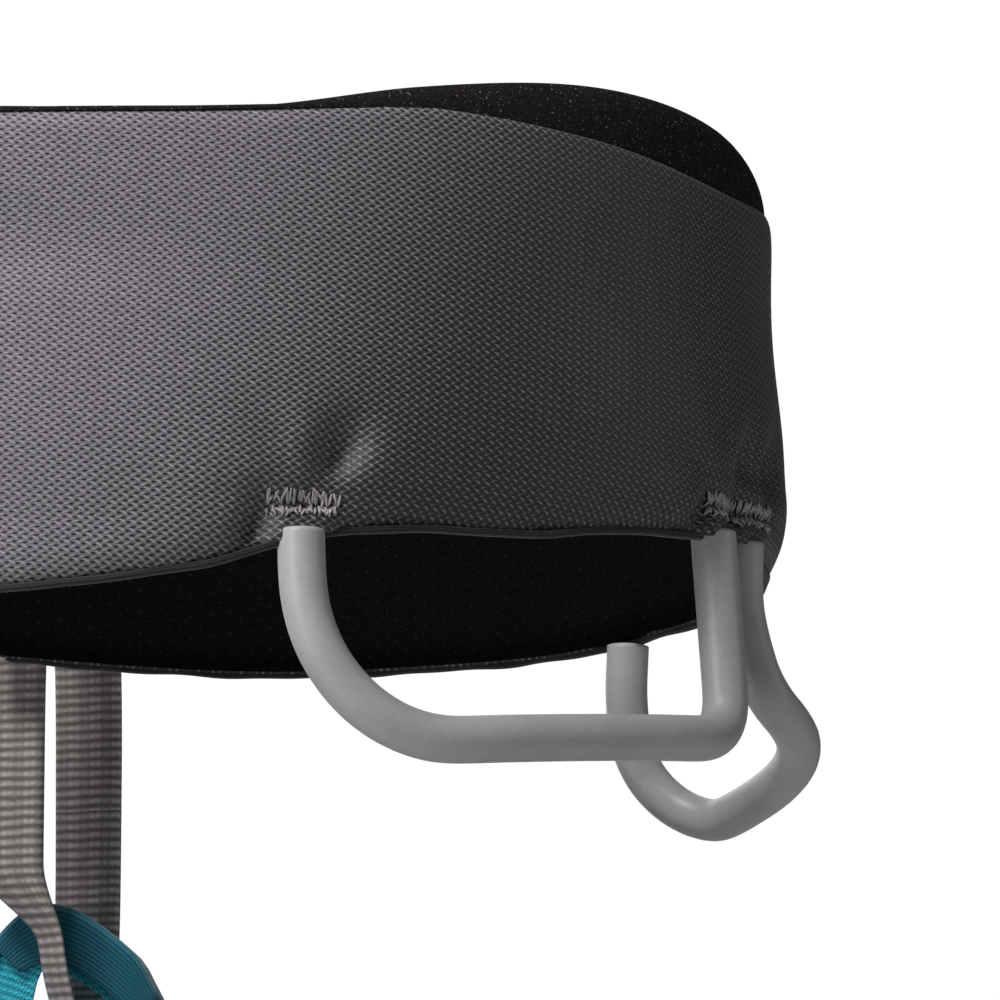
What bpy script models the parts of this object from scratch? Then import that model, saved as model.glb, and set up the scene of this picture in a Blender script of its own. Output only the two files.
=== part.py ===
"""A climbing harness: padded waist belt, four gear loops, belay loop, leg loops and risers.

Metres, +Z up. The wearer faces -Y, the wearer's left is +X, and the origin is the centre of the
waist opening at the belt's mid height. A bearing of 0 is the middle of the back, and it grows
towards the wearer's right, so that 90 is the right hip and 180 is the front.
"""

import math

import bmesh
import bpy
import numpy as np
from mathutils import Matrix, Vector

MM = 0.001
GAP = 0.45

# The belt's outer line in plan, and how its wall leans out towards the bottom.
BELT_HALF_WIDTH = 165.0
BELT_HALF_DEPTH = 108.0
BELT_LEAN = 0.035
RIGHT_PAD_END = 188.0
LEFT_PAD_END = -149.0
BELT_STEPS = 62

# Stations of the belt's edges: bearing in degrees, height in mm.
BOTTOM_EDGE = (
    (0, -55), (10, -52), (17, -49), (24, -43.3), (31, -40.6), (43, -39.8), (52, -37.3), (71, -35.3),
    (95, -38.5), (113, -42.5), (136, -46.5), (165, -44), (190, -38),
)
SHELL_TOP = (
    (0, 42.3), (15, 43.2), (34, 45.8), (50, 43.6), (70, 39), (90, 40.5), (130, 35), (190, 24),
)
LINER_TOP = (
    (0, 43.3), (20, 44), (34, 51), (50, 56), (71, 55), (93, 48), (130, 40), (190, 27),
)
EDGE_CLEARANCE = 3.0
LOWER_TUCK, LOWER_TUCK_HEIGHT = 3.0, 10.0
UPPER_TUCK, UPPER_TUCK_HEIGHT = 1.0, 6.0
ROLL_LEAN = 0.42
LOWER_ROWS = (0.0, 2.5, 5.0, 8.0)
UPPER_ROWS = (0.0, 3.0, 7.0)

# The belt's layers, from the outside in.
SHELL_THICKNESS = 1.0
WEBBING_THICKNESS = 2.2
FOAM_THICKNESS = 5.0
FOAM_INSET = 1.0
LINER_THICKNESS = 1.0
WEBBING_DEPTH = SHELL_THICKNESS + GAP
FOAM_DEPTH = WEBBING_DEPTH + WEBBING_THICKNESS + GAP
LINER_DEPTH = FOAM_DEPTH + FOAM_THICKNESS + GAP
WEBBING_UPPER, WEBBING_LOWER = (-1.0, 12.0), (-19.0, -5.0)
WEBBING_END_MARGIN = 10.0
GEAR_TAPE_SPAN, GEAR_TAPE_RISE = (18.0, 133.0), (6.0, 12.5)

# Gear loops: a plastic sleeve over webbing. One end bends gently and the other is a tight corner.
SLEEVE_RADIUS = 4.75
SLEEVE_WALL = 1.0
CORE_WIDTH, CORE_THICKNESS = 5.2, 1.6
LOOP_DEPTH = 5.0
LOOP_TOP_GAP = 0.5
# Each loop's two ends are bearings. Its bar's heights come next, then the gentle bend's reach along
# and down, the tight corner's radius, the tight leg's lean, and how the loop stands away lower down.
REAR_LOOP = {
    "gentle": 24.3, "tight": 67.7, "gentle_bar": -83.0, "tight_bar": -78.7,
    "along": 29.0, "down": 32.0, "radius": 10.0, "slant": -2.7, "flare": 0.12, "curl": 0.0,
}
FRONT_LOOP = {
    "gentle": 125.5, "tight": 74.6, "gentle_bar": -84.5, "tight_bar": -70.2,
    "along": 19.5, "down": 20.0, "radius": 9.0, "slant": -2.3, "flare": -0.18, "curl": 0.01,
}

# The buckle and its straps bridge the gap between the pads.
STRAP_WIDTH, STRAP_THICKNESS = 28.0, 2.0
BUCKLE_BEARING = 200.0
BUCKLE_WIDTH, BUCKLE_HEIGHT, BUCKLE_THICKNESS = 34.0, 44.0, 3.0
BUCKLE_SLOT, BUCKLE_SLOT_OFFSET, BUCKLE_DEPTH = 9.0, 8.5, 4.0
TILT_WIDTH, TILT_HEIGHT, TILT_THICKNESS = 16.0, 42.0, 2.4
TILT_SLOT, TILT_STANDOFF = 8.0, 2.2
RIGHT_STRAP_SPAN, LEFT_STRAP_SPAN = (181.0, 193.3), (-153.5, -144.0)
TAIL_SPAN, TAIL_STANDOFF = (212.0, 238.0), 3.4
KEEPER_BEARING, KEEPER_THICKNESS = 226.0, 0.9
KEEPER_HALF_LENGTH, KEEPER_HALF_DEPTH, KEEPER_HALF_HEIGHT = 5.0, 1.9, 15.6
PLATE_ROUNDING = 0.6

# The belay loop stands in a vertical plane turned a little from straight ahead.
BELAY_CENTRE = Vector((7.25, -137.5, -69.5))
BELAY_YAW = 17.5
BELAY_HALF_DEPTH, BELAY_HALF_HEIGHT = 23.5, 63.0
BELAY_WIDTH, BELAY_THICKNESS = 17.0, 3.6
BELAY_POWER = 3.6
TIE_IN_BOTTOM, TIE_IN_TOP = -31.0, -13.0
TIE_IN_HALF_WIDTH, TIE_IN_REACH = 21.0, 23.0
TIE_IN_CENTRE, TIE_IN_STANDOFF, TIE_IN_THICKNESS = 7.0, 2.0, 2.4

# The bridge is an arch between the leg loops that the belay loop passes round.
BRIDGE_APEX = Vector((7.0, -137.0, -98.0))
BRIDGE_HALF_SPAN = 41.0
BRIDGE_SLOPE, BRIDGE_ROUNDING = 1.15, 12.0
BRIDGE_WIDTH, BRIDGE_THICKNESS = 17.5, 2.4
BRIDGE_SLEEVE_THICKNESS = 1.2
BRIDGE_BARE_STEPS, BRIDGE_SLEEVE_GAP = 4, 1.4

# Leg loops: bands round an ellipse in plan, highest and narrowest at the inner front.
LEG_CENTRE_X, LEG_CENTRE_Y = 95.0, -40.0
LEG_HALF_X, LEG_HALF_Y = 76.0, 82.0
LEG_TOP, LEG_FALL = -128.0, 40.0
LEG_NARROW, LEG_WIDEN = 32.0, 20.0
LEG_BACK_OUT = Vector((0.6, 0.8))
LEG_STEPS = 36
LEG_STRAP_WIDTH, LEG_STRAP_THICKNESS, LEG_STRAP_STANDOFF = 16.0, 1.6, 3.6
LEG_PIVOT = Vector((36.0, -99.0, -133.0))
LEG_SLIDER_ANGLE = 300.0
LEG_SHELL, LEG_FOAM, LEG_LINER = 1.2, 4.0, 1.0
LEG_STRAP_SPAN = (232.0, 352.0)
SLIDER_LENGTH, SLIDER_DEPTH, SLIDER_SLOT = 9.0, 4.8, 3.0

# Risers: elastic from the back of the belt to the leg loops.
RISER_WIDTH, RISER_THICKNESS = 9.2, 1.6
RISER_TOP = Vector((0.0, 104.5, -82.0))
RISER_BOTTOM = Vector((0.0, 98.0, -150.0))
RISER_Y, TAB_TOP, TAB_BOTTOM, TAB_THICKNESS = 104.6, -55.0, -66.0, 2.0
SEAT_BUCKLE_Z = -74.0
YOKE_DROP = Vector((0.0, -0.6, -9.0))
BRANCH_WIDTH, BRANCH_START_X, BRANCH_START_Z = 12.0, 16.5, -11.0
BRANCH_END_ANGLE, BRANCH_END_STANDOFF, BRANCH_END_DROP = 112.0, 1.4, 6.0
BRANCH_TWIST = (0.5, 0.87)

COLOURS = {
    "shell_fabric": ((0.13, 0.115, 0.14), 0.85, 0.0),
    "liner_mesh": ((0.012, 0.012, 0.014), 0.95, 0.0),
    "foam": ((0.06, 0.06, 0.065), 0.95, 0.0),
    "webbing_grey": ((0.16, 0.145, 0.14), 0.9, 0.0),
    "gear_loop_plastic": ((0.3, 0.29, 0.28), 0.5, 0.0),
    "teal_fabric": ((0.01, 0.42, 0.55), 0.85, 0.0),
    "teal_tape": ((0.0, 0.07, 0.1), 0.85, 0.0),
    "aluminium": ((0.6, 0.6, 0.62), 0.35, 1.0),
    "black_plastic": ((0.02, 0.02, 0.022), 0.5, 0.0),
    "elastic": ((0.03, 0.03, 0.033), 0.9, 0.0),
}


def clear_scene():
    for obj in list(bpy.data.objects):
        bpy.data.objects.remove(obj, do_unlink=True)


def make_collection(name):
    collection = bpy.data.collections.new(name)
    bpy.context.scene.collection.children.link(collection)
    return collection


clear_scene()
PARTS = make_collection("climbing_harness")
CUTTERS = make_collection("cutters")


def material(slot):
    """The slot's Principled material, made once."""
    found = bpy.data.materials.get(slot)
    if found:
        return found
    colour, roughness, metallic = COLOURS[slot]
    made = bpy.data.materials.new(slot)
    made.use_nodes = True
    shader = made.node_tree.nodes["Principled BSDF"]
    shader.inputs["Base Color"].default_value = (*colour, 1.0)
    shader.inputs["Roughness"].default_value = roughness
    shader.inputs["Metallic"].default_value = metallic
    return made


def add_object(name, data, slot, collection=PARTS):
    obj = bpy.data.objects.new(name, data)
    collection.objects.link(obj)
    data.materials.append(material(slot))
    return obj


def blend_through(stations, bearing):
    """A smooth value through stations that are the same to the left and to the right."""
    bearing = abs(bearing)
    for (start, low), (end, high) in zip(stations, stations[1:]):
        if bearing <= end:
            share = (bearing - start) / (end - start)
            return low + (high - low) * (3 * share**2 - 2 * share**3)
    return stations[-1][1]


def bottom_edge(bearing):
    return blend_through(BOTTOM_EDGE, bearing)


def shell_top(bearing):
    return blend_through(SHELL_TOP, bearing)


def liner_top(bearing):
    return blend_through(LINER_TOP, bearing)


def ring(bearing):
    """The belt line's point, outward direction and direction of growing bearing, in plan."""
    turn = math.radians(bearing)
    point = Vector((-BELT_HALF_WIDTH * math.sin(turn), BELT_HALF_DEPTH * math.cos(turn), 0))
    ahead = Vector((-BELT_HALF_WIDTH * math.cos(turn), -BELT_HALF_DEPTH * math.sin(turn), 0))
    ahead.normalize()
    outward = Vector((ahead.y, -ahead.x, 0))
    if outward.dot(point) < 0:
        outward.negate()
    return point, outward, ahead


def tuck(bearing, height):
    """How far the belt's padded edges draw in at this height."""
    above = (height - bottom_edge(bearing)) / LOWER_TUCK_HEIGHT
    below = (shell_top(bearing) - height) / UPPER_TUCK_HEIGHT
    drawn = LOWER_TUCK * max(0.0, 1 - above) ** 2 + UPPER_TUCK * max(0.0, 1 - max(below, 0)) ** 2
    return drawn + ROLL_LEAN * max(0.0, height - shell_top(bearing))


def belt_point(bearing, height, depth):
    """A point of the belt's wall, in mm, at a depth from its outside."""
    point, outward, _ = ring(bearing)
    out = -depth - tuck(bearing, height) - BELT_LEAN * height
    return point + outward * out + Vector((0, 0, height))


def sheet_mesh(name, rows, cyclic=False):
    """A quad surface through rows of points in mm. Cyclic joins its last row to its first."""
    mesh = bpy.data.meshes.new(name)
    bm = bmesh.new()
    grid = [[bm.verts.new(point * MM) for point in row] for row in rows]
    pairs = list(zip(grid, grid[1:]))
    if cyclic:
        pairs.append((grid[-1], grid[0]))
    for first, second in pairs:
        for i in range(len(first) - 1):
            bm.faces.new((first[i], first[i + 1], second[i + 1], second[i]))
    bm.to_mesh(mesh)
    bm.free()
    mesh.shade_smooth()
    return mesh


def solidified(obj, thickness, offset):
    modifier = obj.modifiers.new("Thickness", "SOLIDIFY")
    modifier.thickness = thickness * MM
    modifier.offset = offset
    return obj


def pad_rows(low, high):
    """Heights across a padded layer, closest together where its edges draw in."""
    lower = [low + step for step in LOWER_ROWS]
    upper = [high - step for step in UPPER_ROWS]
    return lower + upper[::-1]


def belt_layer(name, span, low, high, depth, thickness, rows, slot, steps=BELT_STEPS):
    """A layer of the belt between two edges, which are functions of the bearing."""
    middle = depth + thickness / 2
    grid = []
    for bearing in np.linspace(span[0], span[1], steps):
        ends = (low(bearing), high(bearing))
        heights = np.linspace(*ends, rows) if rows else pad_rows(*ends)
        grid.append([belt_point(bearing, height, middle) for height in heights])
    return solidified(add_object(name, sheet_mesh(name, grid), slot), thickness, 0)


def ribbon(name, centres, across, width, thickness, slot, cyclic=False):
    """Webbing along a line. Across holds the direction of its width at each centre."""
    rows = [
        [centre - side.normalized() * width / 2, centre + side.normalized() * width / 2]
        for centre, side in zip(centres, across)
    ]
    obj = add_object(name, sheet_mesh(name, rows, cyclic), slot)
    return solidified(obj, thickness, 0)


def level(height):
    return lambda bearing: height


def above(edge, distance):
    return lambda bearing: edge(bearing) + distance


# --- Waist belt ---------------------------------------------------------------------------------


def make_belt():
    whole = (LEFT_PAD_END, RIGHT_PAD_END)
    low = above(bottom_edge, EDGE_CLEARANCE)
    belt_layer("belt_shell", whole, low, shell_top, 0, SHELL_THICKNESS, None, "shell_fabric")
    foam_low, foam_high = above(bottom_edge, EDGE_CLEARANCE + FOAM_INSET), above(liner_top, -FOAM_INSET)
    belt_layer(
        "belt_foam_core", whole, foam_low, foam_high, FOAM_DEPTH, FOAM_THICKNESS, None, "foam"
    )
    belt_layer(
        "belt_liner", whole, low, liner_top, LINER_DEPTH, LINER_THICKNESS, None, "liner_mesh"
    )


def make_belt_webbing():
    span = (LEFT_PAD_END + WEBBING_END_MARGIN, RIGHT_PAD_END - WEBBING_END_MARGIN)
    for name, (low, high) in (
        ("belt_webbing_upper", WEBBING_UPPER), ("belt_webbing_lower", WEBBING_LOWER),
    ):
        belt_layer(
            name, span, level(low), level(high), WEBBING_DEPTH, WEBBING_THICKNESS, 2, "webbing_grey"
        )
    low, high = (above(bottom_edge, distance) for distance in GEAR_TAPE_RISE)
    for side, turn in (("right", 1), ("left", -1)):
        belt_layer(
            f"gear_tape_{side}", (GEAR_TAPE_SPAN[0] * turn, GEAR_TAPE_SPAN[1] * turn), low, high,
            WEBBING_DEPTH, WEBBING_THICKNESS, 4, "webbing_grey", steps=24,
        )


# --- Gear loops ---------------------------------------------------------------------------------


def arc_table(start, end):
    """Bearings between two ends with the belt line's length up to each of them."""
    bearings = np.linspace(start, end, 60)
    points = [ring(bearing)[0] for bearing in bearings]
    steps = [0.0] + [(b - a).length for a, b in zip(points, points[1:])]
    return bearings, np.cumsum(steps)


def loop_outline(loop, length):
    """A gear loop laid flat, from its gentle end: distance along the belt, and height."""
    gentle_top = bottom_edge(loop["gentle"]) - LOOP_TOP_GAP
    tight_top = bottom_edge(loop["tight"]) - LOOP_TOP_GAP
    gentle_bar, tight_bar, radius = loop["gentle_bar"], loop["tight_bar"], loop["radius"]
    outline = [(0.0, gentle_top)]
    for turn in np.radians(np.linspace(0, 90, 8)):
        along = loop["along"] * (1 - math.cos(turn))
        outline.append((along, gentle_bar + loop["down"] * (1 - math.sin(turn))))
    start, end = loop["along"], length + loop["slant"] - radius
    for share in (0.3, 0.6):
        height = gentle_bar + (tight_bar - gentle_bar) * share
        outline.append((start + (end - start) * share, height))
    for turn in np.radians(np.linspace(0, 90, 7)):
        along = end + radius * math.sin(turn)
        outline.append((along, tight_bar + radius * (1 - math.cos(turn))))
    outline.append((length, tight_top))
    return outline


def gear_loop_path(loop, turn):
    """The loop's centre line in space, with the belt's outward direction at each point."""
    bearings, lengths = arc_table(loop["gentle"], loop["tight"])
    outline = loop_outline(loop, lengths[-1])
    scale = (loop["tight"] - loop["gentle"]) / lengths[-1]
    path, outwards = [], []
    for along, height in outline:
        beyond = max(0.0, along - lengths[-1])
        bearing = float(np.interp(along, lengths, bearings)) + beyond * scale
        point, outward, _ = ring(bearing * turn)
        edge = bottom_edge(bearing)
        drop = max(0.0, edge - height)
        stand_off = loop["flare"] * drop + loop["curl"] * drop**2
        out = -LOOP_DEPTH - BELT_LEAN * edge + stand_off
        path.append(point + outward * out + Vector((0, 0, height)))
        outwards.append(outward)
    return path, outwards


def poly_curve(name, path, radius, slot, resolution=2):
    data = bpy.data.curves.new(name, "CURVE")
    data.dimensions = "3D"
    spline = data.splines.new("POLY")
    spline.points.add(len(path) - 1)
    for point, place in zip(spline.points, path):
        point.co = (*(place * MM), 1)
    data.bevel_depth = radius * MM
    data.bevel_resolution = resolution
    return add_object(name, data, slot)


def make_gear_loops():
    for end, loop in (("rear", REAR_LOOP), ("front", FRONT_LOOP)):
        for side, turn in (("right", 1), ("left", -1)):
            path, outwards = gear_loop_path(loop, turn)
            name = f"gear_loop_{end}_{side}"
            sleeve = poly_curve(name, path, SLEEVE_RADIUS, "gear_loop_plastic")
            solidified(sleeve, SLEEVE_WALL, -1)
            ribbon(
                f"gear_loop_core_{end}_{side}", path, outwards, CORE_WIDTH, CORE_THICKNESS,
                "webbing_grey",
            )


# --- Buckle and waist straps --------------------------------------------------------------------


def box_mesh(name, size):
    mesh = bpy.data.meshes.new(name)
    bm = bmesh.new()
    bmesh.ops.create_cube(bm, size=1.0)
    bmesh.ops.scale(bm, vec=Vector(size) * MM, verts=bm.verts)
    bm.to_mesh(mesh)
    bm.free()
    return mesh


def place(obj, centre, facing):
    """Puts a flat piece at a point in mm, with its local -Y along a direction in plan."""
    obj.location = centre * MM
    obj.rotation_euler = (0, 0, math.atan2(facing.y, facing.x) + math.pi / 2)
    return obj


def cut_with_box(obj, name, size, at=(0, 0, 0)):
    """Cuts a box through an object, at a place on its own axes."""
    cutter = bpy.data.objects.new(name, box_mesh(name, size))
    CUTTERS.objects.link(cutter)
    cutter.parent = obj
    cutter.location = Vector(at) * MM
    cutter.hide_render = True
    cutter.display_type = "WIRE"
    cut = obj.modifiers.new("Slot", "BOOLEAN")
    cut.operation = "DIFFERENCE"
    cut.object = cutter


def frame_plate(name, size, slots, centre, facing, slot):
    """A rounded plate with rectangular slots, each given by its middle, its width and its height."""
    plate = add_object(name, box_mesh(name, size), slot)
    for number, (across, wide, high) in enumerate(slots):
        cut_with_box(plate, f"{name}_slot_{number}", (wide, size[1] * 4, high), (across, 0, 0))
    rounded = plate.modifiers.new("Rounded", "BEVEL")
    rounded.width = PLATE_ROUNDING * MM
    rounded.segments = 1
    rounded.limit_method = "ANGLE"
    return place(plate, centre, facing)


def make_buckle():
    point, outward, _ = ring(BUCKLE_BEARING)
    high = STRAP_WIDTH + 4
    frame_plate(
        "buckle_frame", (BUCKLE_WIDTH, BUCKLE_THICKNESS, BUCKLE_HEIGHT),
        [(across, BUCKLE_SLOT, high) for across in (-BUCKLE_SLOT_OFFSET, BUCKLE_SLOT_OFFSET)],
        point - outward * BUCKLE_DEPTH, outward, "aluminium",
    )
    frame_plate(
        "buckle_tilt_frame", (TILT_WIDTH, TILT_THICKNESS, TILT_HEIGHT), [(0, TILT_SLOT, high)],
        point + outward * TILT_STANDOFF, outward, "aluminium",
    )


def make_waist_straps():
    half = STRAP_WIDTH / 2
    for name, span in (
        ("waist_strap_right", RIGHT_STRAP_SPAN), ("waist_strap_left", LEFT_STRAP_SPAN),
    ):
        belt_layer(
            name, span, level(-half), level(half), WEBBING_DEPTH, STRAP_THICKNESS, 2,
            "webbing_grey", steps=6,
        )
    centres = []
    for bearing in np.linspace(*TAIL_SPAN, 12):
        point, outward, _ = ring(bearing)
        centres.append(point + outward * TAIL_STANDOFF)
    across = [Vector((0, 0, 1))] * len(centres)
    ribbon("strap_tail", centres, across, STRAP_WIDTH, STRAP_THICKNESS, "webbing_grey")


def make_tail_keeper():
    """An elastic ring that holds the strap's tail against the left pad."""
    point, outward, ahead = ring(KEEPER_BEARING)
    rows = []
    for part in (-1, 1):
        at = point + outward * TAIL_STANDOFF + ahead * part * KEEPER_HALF_LENGTH
        row = []
        for out, up in ((1, 1), (1, -1), (-1, -1), (-1, 1)):
            corner = at + outward * out * KEEPER_HALF_DEPTH
            row.append(corner + Vector((0, 0, up * KEEPER_HALF_HEIGHT)))
        row.append(row[0].copy())
        rows.append(row)
    mesh = sheet_mesh("tail_keeper", rows)
    bm = bmesh.new()
    bm.from_mesh(mesh)
    bmesh.ops.remove_doubles(bm, verts=bm.verts, dist=0.01 * MM)
    bmesh.ops.recalc_face_normals(bm, faces=bm.faces)
    bm.to_mesh(mesh)
    bm.free()
    solidified(add_object("tail_keeper", mesh, "elastic"), KEEPER_THICKNESS, 0)


# --- Belay loop, tie-in and bridge ----------------------------------------------------------------


def belay_path(steps=40):
    """A closed upright curve between an ellipse and a rectangle, turned by the loop's yaw."""
    turn = math.radians(BELAY_YAW)
    depth_way = Vector((-math.sin(turn), -math.cos(turn), 0))
    path = []
    for angle in (np.arange(steps) + 0.5) * 2 * math.pi / steps:
        c, s = math.cos(angle), math.sin(angle)
        deep = BELAY_HALF_DEPTH * math.copysign(abs(c) ** (2 / BELAY_POWER), c)
        high = BELAY_HALF_HEIGHT * math.copysign(abs(s) ** (2 / BELAY_POWER), s)
        path.append(BELAY_CENTRE + depth_way * deep + Vector((0, 0, high)))
    return path, Vector((math.cos(turn), -math.sin(turn), 0))


def make_belay_loop():
    path, across = belay_path()
    ribbon(
        "belay_loop", path, [across] * len(path), BELAY_WIDTH, BELAY_THICKNESS, "webbing_grey",
        cyclic=True,
    )


def make_tie_in():
    """A webbing band that stands off the front of the belt."""
    middle = (TIE_IN_BOTTOM + TIE_IN_TOP) / 2
    foot = BELT_HALF_DEPTH + TIE_IN_STANDOFF - BELT_LEAN * middle
    centres = []
    for angle in np.radians(np.linspace(0, 180, 17)):
        c, s = math.cos(angle), math.sin(angle)
        x = TIE_IN_CENTRE + TIE_IN_HALF_WIDTH * math.copysign(abs(c) ** 0.5, c)
        centres.append(Vector((x, -foot - TIE_IN_REACH * abs(s) ** 0.5, middle)))
    across = [Vector((0, 0, 1))] * len(centres)
    ribbon(
        "upper_tie_in_band", centres, across, TIE_IN_TOP - TIE_IN_BOTTOM, TIE_IN_THICKNESS,
        "webbing_grey",
    )


def bridge_path(steps=29):
    """The arch's centre line, the direction of its width and the way out of the arch."""
    end = LEG_PIVOT
    path = []
    for share in np.linspace(-1, 1, steps):
        reach = abs(share) * BRIDGE_HALF_SPAN
        x = BRIDGE_APEX.x * (1 - abs(share)) + share * end.x
        fall = (math.hypot(reach, BRIDGE_ROUNDING) - BRIDGE_ROUNDING) * BRIDGE_SLOPE
        back = max(0.0, abs(share) - 0.6) / 0.4
        y = BRIDGE_APEX.y + (end.y - 3.0 - BRIDGE_APEX.y) * back**1.5
        path.append(Vector((x, y, BRIDGE_APEX.z - fall)))
    across, upward = [], []
    for i in range(steps):
        ahead = path[min(i + 1, steps - 1)] - path[max(i - 1, 0)]
        across.append(Vector((-ahead.y, ahead.x, 0)))
        upward.append(ahead.cross(across[-1]).normalized())
    return path, across, upward


def make_bridge():
    path, across, upward = bridge_path()
    ribbon("leg_bridge", path, across, BRIDGE_WIDTH, BRIDGE_THICKNESS, "teal_fabric")
    lift = BRIDGE_THICKNESS / 2 + BRIDGE_SLEEVE_THICKNESS / 2 + BRIDGE_SLEEVE_GAP
    covered = slice(BRIDGE_BARE_STEPS, -BRIDGE_BARE_STEPS)
    raised = [point + up * lift for point, up in zip(path, upward)]
    ribbon(
        "bridge_wear_sleeve", raised[covered], across[covered], BRIDGE_WIDTH + 2,
        BRIDGE_SLEEVE_THICKNESS, "teal_tape",
    )


# --- Leg loops ------------------------------------------------------------------------------------


def leg_station(angle, side):
    """A leg loop's line in plan at an angle, its outward direction, top height and width."""
    turn = math.radians(angle)
    unit = Vector((math.cos(turn), math.sin(turn)))
    slope = 1 + unit.dot(LEG_BACK_OUT)
    point = Vector((LEG_CENTRE_X + LEG_HALF_X * unit.x, LEG_CENTRE_Y + LEG_HALF_Y * unit.y, 0))
    outward = Vector((unit.x / LEG_HALF_X, unit.y / LEG_HALF_Y, 0)).normalized()
    point.x *= side
    outward.x *= side
    return point, outward, LEG_TOP - LEG_FALL * slope, LEG_NARROW + LEG_WIDEN * slope


def leg_layer(name, side, inset, thickness, rows, slot):
    """A closed band round the leg, at a distance inside the leg loop's line."""
    grid = []
    for angle in np.linspace(0, 360, LEG_STEPS, endpoint=False):
        point, outward, top, width = leg_station(angle * side, side)
        at = point - outward * (inset + thickness / 2)
        heights = np.linspace(top - width, top, rows)
        grid.append([at + Vector((0, 0, height)) for height in heights])
    return solidified(add_object(name, sheet_mesh(name, grid, True), slot), thickness, 0)


def leg_strap_frame(angle, side):
    """The thigh strap's centre off the band's outside, its run, its outside and its width."""
    centres = []
    for near in (angle - 1, angle, angle + 1):
        point, outward, top, width = leg_station(near, side)
        centres.append(point + outward * LEG_STRAP_STANDOFF + Vector((0, 0, top - width / 2)))
    _, outward, _, _ = leg_station(angle, side)
    ahead = (centres[2] - centres[0]).normalized()
    return centres[1], ahead, outward, ahead.cross(outward).normalized()


def make_leg_loop(side_name, side):
    for piece, inset, thickness, rows, slot in (
        ("shell", 0, LEG_SHELL, 4, "shell_fabric"),
        ("foam", LEG_SHELL + GAP, LEG_FOAM, 2, "foam"),
        ("liner", LEG_SHELL + LEG_FOAM + 2 * GAP, LEG_LINER, 3, "liner_mesh"),
    ):
        leg_layer(f"leg_{piece}_{side_name}", side, inset, thickness, rows, slot)
    frames = [leg_strap_frame(angle, side) for angle in np.linspace(*LEG_STRAP_SPAN, 22)]
    ribbon(
        f"leg_strap_{side_name}", [frame[0] for frame in frames], [frame[3] for frame in frames],
        LEG_STRAP_WIDTH, LEG_STRAP_THICKNESS, "webbing_grey",
    )
    make_leg_slider(side_name, side)


def make_leg_slider(side_name, side):
    """A ladder buckle round the thigh strap."""
    centre, ahead, outward, upright = leg_strap_frame(LEG_SLIDER_ANGLE, side)
    size = (SLIDER_LENGTH, SLIDER_DEPTH, LEG_STRAP_WIDTH + 5)
    slider = add_object(f"leg_slider_{side_name}", box_mesh("slider", size), "aluminium")
    cut_with_box(slider, f"leg_slider_slot_{side_name}", (40, SLIDER_SLOT, LEG_STRAP_WIDTH + 1.6))
    axes = Matrix((ahead, outward, upright)).transposed()
    slider.matrix_world = Matrix.Translation(centre * MM) @ axes.to_4x4()


# --- Risers ---------------------------------------------------------------------------------------


def straight(start, end, count):
    return [start.lerp(end, share) for share in np.linspace(0, 1, count)]


def make_risers():
    side_way, backward = Vector((1, 0, 0)), Vector((0, 1, 0))
    tab = straight(Vector((0, RISER_Y, TAB_TOP)), Vector((0, RISER_Y, TAB_BOTTOM)), 3)
    ribbon("riser_tab", tab, [side_way] * 3, RISER_WIDTH, TAB_THICKNESS, "webbing_grey")
    frame_plate(
        "drop_seat_buckle", (12.6, 3.0, 14.0), [(0, 8, 6)], Vector((0, RISER_Y, SEAT_BUCKLE_Z)),
        backward, "black_plastic",
    )
    run = straight(RISER_TOP, RISER_BOTTOM, 3)
    ribbon("riser_center", run, [side_way] * 3, RISER_WIDTH, RISER_THICKNESS, "elastic")
    adjuster = frame_plate(
        "riser_adjuster", (12.0, 5.0, 10.0), [], run[1], backward, "black_plastic"
    )
    cut_with_box(adjuster, "adjuster_slot", (RISER_WIDTH + 1.2, 2.9, 40))
    lean = math.atan2(run[2].y - run[0].y, -(run[2].z - run[0].z))
    adjuster.rotation_euler.x = lean if abs(adjuster.rotation_euler.z) < 1 else -lean
    frame_plate(
        "riser_yoke", (24.0, 3.0, 16.0), [(0, 14, 6)], RISER_BOTTOM + YOKE_DROP, backward,
        "black_plastic",
    )
    for name, side in (("left", 1), ("right", -1)):
        point, outward, top_height, _ = leg_station(BRANCH_END_ANGLE, side)
        end = point + outward * BRANCH_END_STANDOFF + Vector((0, 0, top_height - BRANCH_END_DROP))
        start = RISER_BOTTOM + Vector((BRANCH_START_X * side, YOKE_DROP.y, BRANCH_START_Z))
        ribbon(
            f"riser_branch_{name}", straight(start, end, 4),
            [Vector((BRANCH_TWIST[0] * side, 0, BRANCH_TWIST[1]))] * 4, BRANCH_WIDTH,
            RISER_THICKNESS, "elastic",
        )


make_belt()
make_belt_webbing()
make_gear_loops()
make_buckle()
make_waist_straps()
make_tail_keeper()
make_belay_loop()
make_tie_in()
make_bridge()
make_leg_loop("left", 1)
make_leg_loop("right", -1)
make_risers()
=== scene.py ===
"""A climbing harness: woven pads, ribbed webbing, plastic gear loops and soft studio light.

Lengths are millimetres until a mesh is made, which is in metres. A bearing of 0 is the middle of the
back and grows towards the wearer's right; the wearer faces -Y and the wearer's left is +X.
"""

import math

import bmesh
import bpy
import numpy as np
from mathutils import Matrix, Vector


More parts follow.
